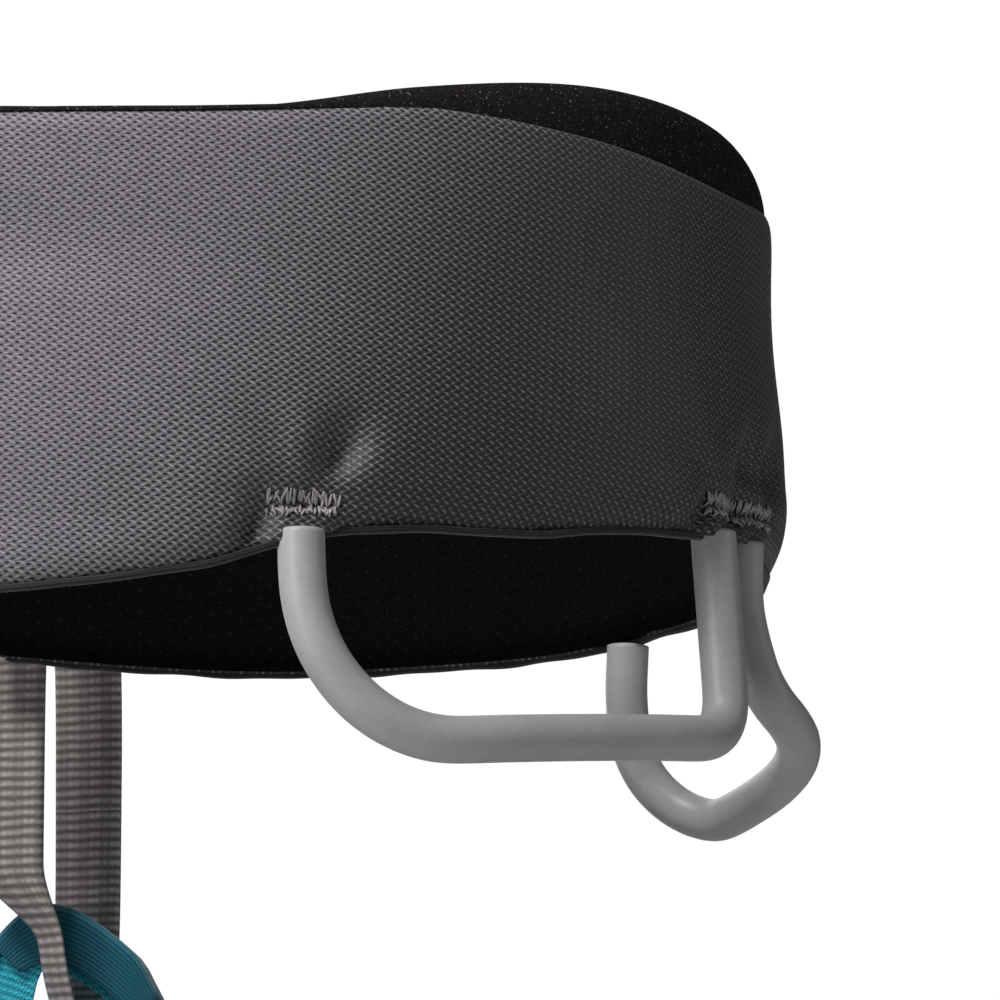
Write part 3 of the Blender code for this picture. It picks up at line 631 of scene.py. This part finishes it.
def shell_depth(bearing, height, low, seam):
    """The shell's depth inside the belt line: rounded edges, puckers and soft waves."""
    above = height - low
    below = seam - height
    roll = np.clip((top_edge(bearing) - seam - 0.6) / 5.0, 0, 1)
    depth = EDGE_DEPTH * quarter(above / EDGE_ROUND) * (1 - 0.95 * over_loops(bearing))
    # The lower half of the pad leans in, and a crease crosses the middle of the back.
    depth = depth + 2.0 * (np.clip(-4 - height, 0, 36) / 34) ** 2
    middle = np.exp(-((bearing / 15) ** 2))
    depth = depth + 1.5 * middle * np.exp(-(((height - 12) / 6.5) ** 2))
    depth = depth + (1.1 * roll + 4.2 * (1 - roll)) * quarter(below / (5.0 - 1.5 * roll))
    inner = np.clip(above / 8, 0, 1) * np.clip(below / 8, 0, 1)
    depth = depth + soft_waves(bearing, height) * inner
    depth = depth + puckers(bearing, height) * np.clip(above / 3.0, 0.15, 1)
    return depth + END_DEPTH * quarter(pad_ends(bearing) / END_ROUND)


def belt_bearings(step):
    """Bearings from one end of the pad to the other, a step in mm apart."""
    count = int((along_belt(RIGHT_PAD_END) - along_belt(LEFT_PAD_END)) / step)
    lengths = np.linspace(along_belt(LEFT_PAD_END), along_belt(RIGHT_PAD_END), count)
    lengths[0] += 0.05
    lengths[-1] -= 0.05
    return bearing_at(lengths)


def make_belt_shell():
    """The woven shell, with its rows closer together at the low edge and at the seam."""
    bearings = belt_bearings(1.1)
    shares = np.linspace(0, 1, 84)
    shares = shares - 0.06 * np.sin(2 * math.pi * shares)
    bearing = np.repeat(bearings[:, None], len(shares), 1)
    low, seam = low_edge(bearing), seam_height(bearing)
    height = low + (seam - low) * shares[None]
    points = belt_points(bearing, height, shell_depth(bearing, height, low, seam))
    uv = np.stack((along_belt(bearing), height), -1)
    shell = add("belt_shell_cloth", grid_mesh("belt_shell_cloth", points, uv), SHELL, "belt")
    thicken(shell, 0.8)
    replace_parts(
        shell, "belt_shell", "belt_foam_core", "belt_webbing_upper", "belt_webbing_lower",
        "gear_tape_left", "gear_tape_right",
    )


def liner_profile(bearing):
    """The liner from the seam over the rolled edge, down the inside and under to the low edge.

    Each column is a depth, a height and whether it belongs to the roll.
    """
    seam, top, low = seam_height(bearing), top_edge(bearing), low_edge(bearing)
    end = END_DEPTH * quarter(pad_ends(bearing) / END_ROUND)
    columns = []
    rise = top - seam + 1.0
    for turn in np.radians(np.linspace(0, 90, 16)):
        depth = SEAM_DEPTH + (ROLL_DEPTH - SEAM_DEPTH) * (1 - math.cos(turn)) ** 1.3 + end
        columns.append((depth, seam - 1.0 + rise * math.sin(turn), True))
    for turn in np.radians(np.linspace(9, 90, 9)):
        depth = np.maximum(ROLL_DEPTH + (WALL - ROLL_DEPTH - end) * math.sin(turn), ROLL_DEPTH + end)
        columns.append((depth, top - ROLL_RADIUS * (1 - math.cos(turn)), True))
    for share in np.linspace(0.03, 1, 30):
        height = top - ROLL_RADIUS + (low + LINER_TUCK - top + ROLL_RADIUS) * share
        columns.append((WALL - end, height, False))
    for turn in np.radians(np.linspace(12, 90, 8)):
        depth = WALL - end - (WALL - LINER_TUCK - end) * (1 - math.cos(turn))
        columns.append((np.maximum(depth, 5.4), low + LINER_TUCK - 5.6 * math.sin(turn), False))
    return columns


def make_belt_liner():
    """The knitted liner, whose rolled edge at the top has a lighter copy of the knit with painted glints,
    while the rest of it is darkened with painted shade.
    """
    bearings = belt_bearings(2.2)
    columns = liner_profile(bearings)
    points = np.stack([belt_points(bearings, height, depth) for depth, height, _ in columns], 1)
    steps = np.linalg.norm(np.diff(points, axis=1), axis=-1)
    across = np.concatenate((np.zeros((len(bearings), 1)), np.cumsum(steps, 1)), 1)
    uv = np.stack(np.broadcast_arrays(along_belt(bearings)[:, None], across), -1)
    liner = add("belt_liner_cloth", grid_mesh("belt_liner_cloth", points, uv), LINER_PAINTED_SHADE, "belt")
    liner.data.materials.append(ROLL_PAINTED_GLINTS)
    in_roll = np.array([rolled for _, _, rolled in columns])
    face_in_roll = np.tile(in_roll[1:], len(bearings) - 1)
    liner.data.polygons.foreach_set("material_index", face_in_roll.astype(np.int32))
    thicken(liner, 0.7)
    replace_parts(liner, "belt_liner")


def make_edge_tape():
    """The folded tape along the belt's low edge, between the shell and the liner."""
    bearings = belt_bearings(2.0)[4:-4]
    ripple = 0.25 * np.sin(along_belt(bearings) / 5.3) + 0.2 * np.sin(along_belt(bearings) / 2.9)
    path = belt_points(bearings, low_edge(bearings) - 0.1 + ripple * 0.5, 5.2 + ripple)
    _, outward, _ = ring(bearings)
    tape = swept("belt_edge_tape", path, outward, rounded_section(2.4, 1.5, 0.7, 3), ends=2.0)
    add("belt_edge_tape", tape, PIPING, "belt")


def strokes(name, runs, radius, material, body):
    """Short stitches: each run is a row of points, and all of them are one mesh."""
    section = np.array(circle_section(radius, 6))
    vertices, faces = [], []
    for run in runs:
        run = np.asarray(run, float)
        ahead = tangents(run)
        side = unit(np.cross(ahead, UP + 0.01))
        over = np.cross(ahead, side)
        swell = np.sin(np.linspace(0.25, math.pi - 0.25, len(run)))
        base = len(vertices)
        for i, point in enumerate(run):
            for a, b in section * (0.35 + 0.65 * swell[i]):
                vertices.append((point + side[i] * a + over[i] * b) * MM)
        sides = len(section)
        for i in range(len(run) - 1):
            for j in range(sides):
                k = (j + 1) % sides
                row, next_row = base + i * sides, base + (i + 1) * sides
                faces.append((row + j, row + k, next_row + k, next_row + j))
        faces.append(tuple(base + j for j in range(sides))[::-1])
        faces.append(tuple(base + (len(run) - 1) * sides + j for j in range(sides)))
    mesh = bpy.data.meshes.new(name)
    mesh.from_pydata([tuple(vertex) for vertex in vertices], [], faces)
    mesh.shade_smooth()
    add(name, mesh, material, body)


def make_bar_tacks():
    """Two rows of dense stitching through the pad above each gear loop's leg."""
    random = np.random.default_rng(4)
    for number, tack in enumerate(TACKS):
        runs = []
        low = through(BOTTOM_EDGE, tack)
        for i in range(TACK_STITCHES):
            row = i % 2
            across = TACK_WIDTH * (i / (TACK_STITCHES - 1) - 0.5) + random.normal(0, 0.35)
            lean = random.normal(0, 0.45)
            half = (1.35, 0.8)[row] * random.uniform(0.6, 1.15)
            centre = TACK_HEIGHT + (0.9, -1.9)[row] + random.normal(0, 0.3) - (across / 8.0) ** 2 * 0.5
            steps = np.linspace(-1, 1, 5)
            bearing = bearing_at(along_belt(tack) + across + lean * steps)
            height = low + centre + half * steps
            edges = low_edge(bearing), seam_height(bearing)
            depth = shell_depth(bearing, height, *edges) - 0.15 - 0.35 * (1 - steps**2)
            runs.append(belt_points(bearing, height, depth))
        strokes(f"bar_tack_{number}", runs, 0.3, STITCH, "belt")


# --- Gear loops ---

LOOP_DEPTH, LOOP_HIDDEN = 5.0, 1.2


def loop_outline(loop, length):
    """A gear loop laid flat, from its gentle end: distance along the belt, and height."""
    gentle_top = float(through(BOTTOM_EDGE, loop["gentle"]))
    tight_top = float(through(BOTTOM_EDGE, loop["tight"]))
    gentle_bar, tight_bar, radius = loop["gentle_bar"], loop["tight_bar"], loop["radius"]
    outline = [(0.0, gentle_top + LOOP_HIDDEN), (0.0, gentle_top)]
    if gentle_top - gentle_bar - loop["down"] > 12:
        outline.append((0.0, (gentle_top + gentle_bar + loop["down"]) / 2))
    for turn in np.radians(np.linspace(0, 90, 10)):
        along = loop["along"] * (1 - math.cos(turn))
        outline.append((along, gentle_bar + loop["down"] * (1 - math.sin(turn))))
    start, end = loop["along"], length + loop["slant"] - radius
    for share in (0.2, 0.4, 0.6, 0.8):
        height = gentle_bar + (tight_bar - gentle_bar) * share
        outline.append((start + (end - start) * share, height))
    for turn in np.radians(np.linspace(0, 90, 7)):
        along = end + radius * math.sin(turn)
        outline.append((along, tight_bar + radius * (1 - math.cos(turn))))
    outline.append((length + loop["slant"] / 2, (tight_bar + radius + tight_top) / 2))
    outline.append((length, tight_top))
    outline.append((length, tight_top + LOOP_HIDDEN))
    return np.array(outline)


def loop_path(loop, turn):
    """The loop's centre line in space and the belt's outward direction beside it."""
    samples = np.linspace(loop["gentle"], loop["tight"], 200)
    lengths = np.abs(along_belt(samples) - along_belt(loop["gentle"]))
    outline = loop_outline(loop, lengths[-1])
    scale = (loop["tight"] - loop["gentle"]) / lengths[-1]
    beyond = np.clip(outline[:, 0] - lengths[-1], 0, None)
    bearing = np.interp(outline[:, 0], lengths, samples) + beyond * scale
    point, outward, _ = ring(bearing * turn)
    edge = through(BOTTOM_EDGE, bearing)
    drop = np.clip(edge - outline[:, 1], 0, None)
    stand_off = loop["flare"] * drop + loop["curl"] * drop**2
    out = -LOOP_DEPTH - BELT_LEAN * edge + stand_off
    path = point + outward * out[:, None] + UP * outline[:, 1:]
    smooth = smooth_path(path, 170)
    for _ in range(14):
        smooth[1:-1] = (smooth[:-2] + 2 * smooth[1:-1] + smooth[2:]) / 4
    chord = unit(path[-1] - path[0])
    across = np.cross(chord, UP)
    across = np.sign((across * outward.mean(0)).sum()) * across
    return smooth, np.repeat(across[None], len(smooth), 0)


def make_gear_loops():
    section = circle_section(SLEEVE_RADIUS, 28)
    for end, loop in (("rear", REAR_LOOP), ("front", FRONT_LOOP)):
        for side, turn in (("right", 1), ("left", -1)):
            name, body = f"sleeve_{end}_{side}", f"{end}_{side}_gear_loop"
            path, across = loop_path(loop, turn)
            mesh = capped(swept(name, path, across, section))
            sleeve = add(name, mesh, SLEEVE, body)
            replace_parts(sleeve, f"gear_loop_{end}_{side}", f"gear_loop_core_{end}_{side}")


# --- Belay loop, tie-in and bridge ---

BELAY_CENTRE, BELAY_YAW = np.array((7.25, -137.5, -69.5)), 17.5
BELAY_HALF_DEPTH, BELAY_HALF_HEIGHT, BELAY_POWER = 23.5, 63.0, 3.6
BELAY_WIDTH, BELAY_THICKNESS = 17.0, 3.6
# Below its middle, the belay loop's rear strand folds in on itself, then is pulled to the wearer's right.
REAR_START, FOLD_DROP, FOLD_LENGTH, FOLD_SHARE = 14.0, 17.0, 19.0, 0.66
PULL_DROP, PULL_RATE = 26.0, 0.006
TIE_IN_BOTTOM, TIE_IN_TOP, TIE_IN_HALF_WIDTH, TIE_IN_REACH = -31.0, -13.0, 21.0, 23.0
TIE_IN_CENTRE = 7.0
LEG_PIVOT = np.array((36.0, -99.0, -133.0))
BRIDGE_APEX, BRIDGE_HALF_SPAN = np.array((7.0, -137.0, -98.0)), 41.0
BRIDGE_SLOPE, BRIDGE_ROUNDING, BRIDGE_SAG = 1.15, 12.0, 8.0
BRIDGE_HALF_WIDTH, BRIDGE_SLEEVE_HALF_WIDTH, FOLD_RADIUS, FLAP_FOOT = 8.75, 10.4, 2.5, -119.5


def super_power(value, power):
    """A power that keeps the sign, which makes a circle's outline squarer."""
    return np.sign(value) * np.abs(value) ** power


def make_belay_loop():
    turn = math.radians(BELAY_YAW)
    depth_way = np.array((-math.sin(turn), -math.cos(turn), 0))
    across = np.array((math.cos(turn), -math.sin(turn), 0))
    angles = np.linspace(0, 2 * np.pi, 120, endpoint=False)
    deep = BELAY_HALF_DEPTH * super_power(np.cos(angles), 2 / BELAY_POWER)
    high = BELAY_HALF_HEIGHT * super_power(np.sin(angles), 2 / BELAY_POWER)
    outline = BELAY_CENTRE + depth_way * deep[:, None] + UP * high[:, None]
    path = smooth_path(outline, 200, True)
    twist = 0.05 * np.sin(path[:, 2] / 23.0)
    ways = across[None] + depth_way[None] * twist[:, None]
    section = rounded_section(BELAY_WIDTH, BELAY_THICKNESS, 1.5)
    mesh = swept("belay_loop_webbing", path, ways, section, True)
    for vertex in mesh.vertices:
        x, y, z = np.array(vertex.co) / MM - BELAY_CENTRE
        rear = min(max(y / REAR_START, 0), 1)
        fold = rear * min(max((-FOLD_DROP - z) / FOLD_LENGTH, 0), 1)
        fold = fold * fold * (3 - 2 * fold)
        folded = max(x + y * math.tan(turn), 0) * FOLD_SHARE * fold
        pulled = PULL_RATE * rear * max(-PULL_DROP - z, 0) ** 2
        vertex.co.x -= (folded + pulled) * MM
    loop = add("belay_loop_webbing", mesh, WEBBING, "belay_loop")
    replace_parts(loop, "belay_loop")


def make_tie_in():
    """The band across the front of the belt that the belay loop hangs from."""
    middle = (TIE_IN_BOTTOM + TIE_IN_TOP) / 2
    foot = BELT_HALF_DEPTH + 2.0 - BELT_LEAN * middle
    turns = np.radians(np.linspace(0, 180, 41))
    x = TIE_IN_CENTRE + TIE_IN_HALF_WIDTH * super_power(np.cos(turns), 0.5)
    y = -foot + 1.5 - (TIE_IN_REACH + 1.5) * super_power(np.sin(turns), 0.5)
    path = smooth_path(np.stack((x, y, np.full_like(x, middle)), -1), 90)
    section = rounded_section(TIE_IN_TOP - TIE_IN_BOTTOM, 2.4, 1.0)
    ways = np.repeat(UP[None], len(path), 0)
    mesh = capped(swept("tie_in_webbing", path, ways, section))
    band = add("tie_in_webbing", mesh, WEBBING, "belt")
    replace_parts(band, "upper_tie_in_band")


def bridge_line(steps=61):
    """The arch's centre line, the direction of its width and the way out of the arch."""
    share = np.linspace(-1, 1, steps)
    reach = np.abs(share) * BRIDGE_HALF_SPAN
    x = BRIDGE_APEX[0] * (1 - np.abs(share)) + share * LEG_PIVOT[0]
    z = BRIDGE_APEX[2] - (np.hypot(reach, BRIDGE_ROUNDING) - BRIDGE_ROUNDING) * BRIDGE_SLOPE
    z = z - BRIDGE_SAG * np.sin(np.pi * np.clip((np.abs(share) - 0.45) / 0.55, 0, 1))
    back = np.clip(np.abs(share) - 0.6, 0, None) / 0.4
    y = BRIDGE_APEX[1] + (LEG_PIVOT[1] - 3.0 - BRIDGE_APEX[1]) * back**1.5
    path = np.stack((x, y, z), -1)
    ahead = tangents(path)
    across = unit(np.stack((-ahead[:, 1], ahead[:, 0], np.zeros(steps)), -1))
    return path, across, np.cross(ahead, across)


def draped(name, path, across, upward, lift, half_width, flap):
    """Cloth over the arch whose rear edge hangs down as a flap, as deep as the list says."""
    rows = []
    for point, side, up, fall in zip(path, across, upward, flap):
        base = point + up * lift
        flat = half_width - FOLD_RADIUS
        row = [base + side * reach for reach in np.linspace(-half_width, flat, 10)]
        for turn in np.radians((22.5, 45, 67.5, 90)):
            reach = flat + FOLD_RADIUS * math.sin(turn)
            row.append(base + side * reach - UP * FOLD_RADIUS * (1 - math.cos(turn)))
        row += [row[-1] - UP * fall * share for share in np.linspace(0.1, 1, 10)]
        rows.append(row)
    points = np.array(rows)
    along = np.concatenate(([0], np.cumsum(np.linalg.norm(np.diff(path, axis=0), axis=1))))
    steps = np.linalg.norm(np.diff(points, axis=1), axis=-1)
    width = np.concatenate((np.zeros((len(path), 1)), np.cumsum(steps, 1)), 1)
    uv = np.stack(np.broadcast_arrays(along[:, None], width), -1)
    return grid_mesh(name, points, uv)


def make_bridge():
    """The woven bridge and the ribbed wear sleeve over the middle of it."""
    path, across, upward = bridge_line()
    share = np.linspace(-1, 1, len(path))
    left_side = np.clip((share - 0.05) / 0.12, 0, 1) * np.clip((1 - share) / 0.5, 0, 1)
    right_side = np.clip((0.2 - share) / 0.15, 0, 1) * np.clip((1 + share) / 0.5, 0, 1)
    cloth_flap = 5.0 + np.clip(path[:, 2] - FLAP_FOOT, 0, 30) * left_side + 6.0 * right_side
    mesh = draped("bridge_cloth", path, across, upward, 0.6, BRIDGE_HALF_WIDTH, cloth_flap)
    cloth = add("bridge_cloth", mesh, TEAL, "belt")
    thicken(cloth, 1.6, 0)
    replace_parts(cloth, "leg_bridge")
    middle = slice(5, -5)
    tape_flap = 2.0 + 9.5 * np.clip((0.3 - share) / 0.15, 0, 1)
    mesh = draped(
        "bridge_sleeve_cloth", path[middle], across[middle], upward[middle], 2.6,
        BRIDGE_SLEEVE_HALF_WIDTH, tape_flap[middle],
    )
    sleeve = add("bridge_sleeve_cloth", mesh, TEAL_TAPE, "belt")
    thicken(sleeve, 1.4, 0)
    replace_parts(sleeve, "bridge_wear_sleeve")


# --- Leg loops ---

LEG_CENTRE, LEG_HALF = np.array((95.0, -40.0)), np.array((76.0, 82.0))
LEG_TOP, LEG_FALL, LEG_NARROW, LEG_WIDEN = -128.0, 40.0, 32.0, 20.0
LEG_BACK_OUT = np.array((0.6, 0.8))
LEG_WALL = 7.1
LEG_STRAP_START, LEG_STRAP_END, LEG_STRAP_OUT = 228.0, 356.0, 3.6


def leg_station(angle, side):
    """A leg loop's line in plan, its outward direction, top height and width, for angles."""
    turn = np.radians(np.asarray(angle, float))
    way = np.stack((np.cos(turn), np.sin(turn)), -1)
    slope = 1 + way @ LEG_BACK_OUT
    plan = LEG_CENTRE + LEG_HALF * way
    out = unit(way / LEG_HALF)
    zero = np.zeros_like(turn)
    point = np.stack((plan[..., 0] * side, plan[..., 1], zero), -1)
    outward = np.stack((out[..., 0] * side, out[..., 1], zero), -1)
    return point, outward, LEG_TOP - LEG_FALL * slope, LEG_NARROW + LEG_WIDEN * slope


def make_leg_pad(side_name, side):
    """The leg loop's shell outside, its liner inside and tape round both edges."""
    angles = np.linspace(0, 360, 220, endpoint=False) * side
    point, outward, top, width = leg_station(angles, side)
    steps = np.linalg.norm(np.roll(point, -1, 0) - point, axis=1)
    along = np.concatenate(([0], np.cumsum(steps)[:-1]))
    body = f"leg_loop_{side_name}"
    shares = np.linspace(0, 1, 36)
    for piece, material, slot, nodes in (
        ("shell", SHELL, "shell_fabric", ("leg_shell", "leg_foam")),
        ("liner", LINER_PAINTED_SHADE, "liner_mesh", ("leg_liner",)),
    ):
        height = top[:, None] - width[:, None] * (1 - shares[None])
        edge = np.minimum(shares, 1 - shares)[None] * width[:, None]
        swell = 0.35 * np.sin(along / 17.0)[:, None] * np.clip(edge / 8, 0, 1)
        depth = 3.2 * quarter(edge / 6.0) + swell
        if piece == "liner":
            depth = LEG_WALL - 3.0 * quarter(edge / 6.0)
        points = point[:, None] - outward[:, None] * depth[..., None] + UP * height[..., None]
        uv = np.stack(np.broadcast_arrays(along[:, None], height), -1)
        mesh = grid_mesh(f"leg_{piece}_cloth_{side_name}", points, uv, True)
        if piece == "liner":
            mesh.flip_normals()
        cloth = add(f"leg_{piece}_cloth_{side_name}", mesh, material, body)
        thicken(cloth, 0.6 if piece == "shell" else 0.5)
        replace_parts(cloth, *(f"{node}_{side_name}" for node in nodes))
    tape = rounded_section(2.6, 2.0, 0.9, 3)
    for edge_name, height in (("upper", top), ("lower", top - width)):
        path = point - outward * (LEG_WALL / 2 - 0.1) + UP * height[:, None]
        name = f"leg_tape_{edge_name}_{side_name}"
        add(name, swept(name, path, outward, tape, True), PIPING, body)


def make_leg_strap(side_name, side):
    """The thigh strap, whose two ends dip towards the pad that they are sewn to."""
    angles = np.linspace(LEG_STRAP_START, LEG_STRAP_END, 90)
    point, outward, top, width = leg_station(angles, side)
    path = point + outward * LEG_STRAP_OUT + UP * (top - width / 2)[:, None]
    across = np.cross(tangents(path), outward)
    ends = np.clip(np.minimum(np.arange(len(path)), np.arange(len(path))[::-1]) / 7.0, 0, 1)
    path = path - outward * (3.0 * (1 - ends) ** 2)[:, None]
    name = f"leg_strap_webbing_{side_name}"
    mesh = capped(swept(name, path, across, rounded_section(16.0, 1.6, 0.7)))
    strap = add(name, mesh, WEBBING, f"leg_loop_{side_name}")
    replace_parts(strap, f"leg_strap_{side_name}")


# --- Buckle, straps and risers ---

RISER_WIDTH, BRANCH_WIDTH, RISER_THICKNESS = 9.2, 12.0, 1.6


def belt_strap(name, start, end, depth, node):
    """Webbing along the belt line between two bearings."""
    bearings = np.linspace(start, end, 60)
    path = belt_points(bearings, np.zeros(60), np.full(60, depth))
    ways = np.repeat(UP[None], 60, 0)
    mesh = capped(swept(name, path, ways, rounded_section(28.0, 2.0, 0.9)))
    strap = add(name, mesh, WEBBING, "belt")
    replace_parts(strap, node)


def make_straps():
    belt_strap("waist_webbing_right", 180.0, 193.3, 2.8, "waist_strap_right")
    belt_strap("waist_webbing_left", -153.5, -143.0, 2.8, "waist_strap_left")
    belt_strap("strap_tail_webbing", 212.0, 238.0, -3.4, "strap_tail")


def straight(start, end, count):
    share = np.linspace(0, 1, count)[:, None]
    return np.array(start) * (1 - share) + np.array(end) * share


def flat_strip(name, start, end, way, width, count):
    """A straight strip of elastic, whose width runs along way."""
    ways = np.repeat(np.array(way, float)[None], count, 0)
    section = rounded_section(width, RISER_THICKNESS, 0.7)
    return capped(swept(name, straight(start, end, count), ways, section))


def make_risers():
    for name, start, end, node, material in (
        ("riser_tab_webbing", (0, 104.6, -52), (0, 104.6, -66), "riser_tab", BAND),
        ("riser_center_elastic", (0, 104.5, -82), (0, 98, -150), "riser_center", ELASTIC),
    ):
        mesh = flat_strip(name, start, end, (1, 0, 0), RISER_WIDTH, 30)
        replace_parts(add(name, mesh, material, "belt"), node)
    for side_name, side in (("left", 1), ("right", -1)):
        point, outward, top, _ = leg_station(112.0, side)
        end = point + outward * 1.4 + UP * (top - 6)
        start = np.array((16.5 * side, 97.4, -161.0))
        name = f"riser_branch_elastic_{side_name}"
        mesh = flat_strip(name, start, end, (0.5 * side, 0, 0.87), BRANCH_WIDTH, 50)
        branch = bpy.data.objects.new(name, mesh)
        bpy.context.scene.collection.objects.link(branch)
        mesh.materials.append(ELASTIC)
        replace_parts(branch, f"riser_branch_{side_name}")
        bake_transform(branch)


def paint_cad_nodes():
    for node, material in (
        ("buckle_frame", ALUMINIUM), ("buckle_tilt_frame", ALUMINIUM), ("leg_slider_left", ALUMINIUM),
        ("leg_slider_right", ALUMINIUM), ("drop_seat_buckle", PLASTIC), ("riser_adjuster", PLASTIC),
        ("riser_yoke", PLASTIC), ("tail_keeper", ELASTIC),
    ):
        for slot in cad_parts[node].material_slots:
            slot.material = material


# --- Stage ---

CAMERA_DISTANCE, CAMERA_BEARING, CAMERA_HEIGHT = 1108.0, 6.5, -206.0
CAMERA_PAN, CAMERA_TILT, CAMERA_ROLL, CAMERA_LENS = 5.406, 9.586, 0.44, 186.07
BACKDROP, AMBIENT = 1.02, 0.045
FLOOR_HALF, FLOOR_GAP, FLOOR_GREY = 3.0, 0.004, 0.6


def make_camera():
    turn = math.radians(CAMERA_BEARING)
    level = Vector((math.sin(turn), -math.cos(turn), 0))
    place = (Vector((0, 0, CAMERA_HEIGHT)) - level * CAMERA_DISTANCE) * MM
    aim = Matrix.Rotation(-math.radians(CAMERA_PAN), 3, "Z") @ level
    aim.z = math.tan(math.radians(CAMERA_TILT)) * aim.length
    data = bpy.data.cameras.new("camera")
    data.lens = CAMERA_LENS
    data.clip_start, data.clip_end = 0.05, 20.0
    camera = bpy.data.objects.new("camera", data)
    camera.location = place
    turned = aim.to_track_quat("-Z", "Y").to_matrix() @ Matrix.Rotation(math.radians(-CAMERA_ROLL), 3, "Z")
    camera.rotation_euler = turned.to_euler()
    bpy.context.scene.collection.objects.link(camera)
    bpy.context.scene.camera = camera


def area_light(name, place, target, size, power, colour=(1, 1, 1)):
    data = bpy.data.lights.new(name, "AREA")
    data.shape = "RECTANGLE"
    data.size, data.size_y = size
    data.energy = power
    data.color = colour
    light = bpy.data.objects.new(name, data)
    light.location = place
    light.rotation_euler = (Vector(target) - Vector(place)).to_track_quat("-Z", "Y").to_euler()
    bpy.context.scene.collection.objects.link(light)


def make_stage():
    """White surroundings that give little light, a pale floor, and soft lights, mostly at the rear left."""
    world = bpy.data.worlds.new("studio")
    world.use_nodes = True
    bpy.context.scene.world = world
    tree = world.node_tree
    background = tree.nodes["Background"]
    background.inputs["Color"].default_value = (1, 1, 1, 1)
    rays = tree.nodes.new("ShaderNodeLightPath")
    strength = tree.nodes.new("ShaderNodeMix")
    strength.inputs[2].default_value = AMBIENT
    strength.inputs[3].default_value = BACKDROP
    tree.links.new(rays.outputs["Is Camera Ray"], strength.inputs[0])
    tree.links.new(strength.outputs[0], background.inputs["Strength"])
    area_light("key_left", (0.95, 1.15, 0.5), (0, 0.08, 0), (0.45, 0.6), 11.0)
    area_light("top_left", (0.55, 0.75, 1.25), (0, 0.08, 0), (0.5, 0.4), 22.0)
    area_light("fill_right", (-1.6, 0.25, 0.05), (-0.15, 0, 0), (0.4, 1.6), 4.2, (0.97, 0.95, 1.0))
    area_light("low_left", (0.75, 1.15, -0.27), (0, -0.14, -0.12), (0.3, 0.06), 2.2)
    area_light("front_fill", (0.3, -1.6, 0.5), (0, 0, -0.05), (1.6, 1.6), 14.0)
    mesh = bpy.data.meshes.new("floor")
    half, level = FLOOR_HALF, CAD_BOUNDS[0][2] - FLOOR_GAP
    mesh.from_pydata(
        [(-half, -half, level), (half, -half, level), (half, half, level), (-half, half, level)],
        [], [(0, 1, 2, 3)],
    )
    floor = bpy.data.objects.new("floor", mesh)
    pale = bpy.data.materials.new("floor")
    pale.use_nodes = True
    pale.node_tree.nodes["Principled BSDF"].inputs["Base Color"].default_value = (*[FLOOR_GREY] * 3, 1)
    mesh.materials.append(pale)
    bpy.context.scene.collection.objects.link(floor)
    bpy.context.scene.view_settings.view_transform = "Standard"


make_camera()
make_belt_shell()
make_belt_liner()
make_edge_tape()
make_bar_tacks()
make_gear_loops()
make_belay_loop()
make_tie_in()
make_bridge()
for side_name, side in (("left", 1), ("right", -1)):
    make_leg_pad(side_name, side)
    make_leg_strap(side_name, side)
make_straps()
make_risers()
paint_cad_nodes()
make_stage()
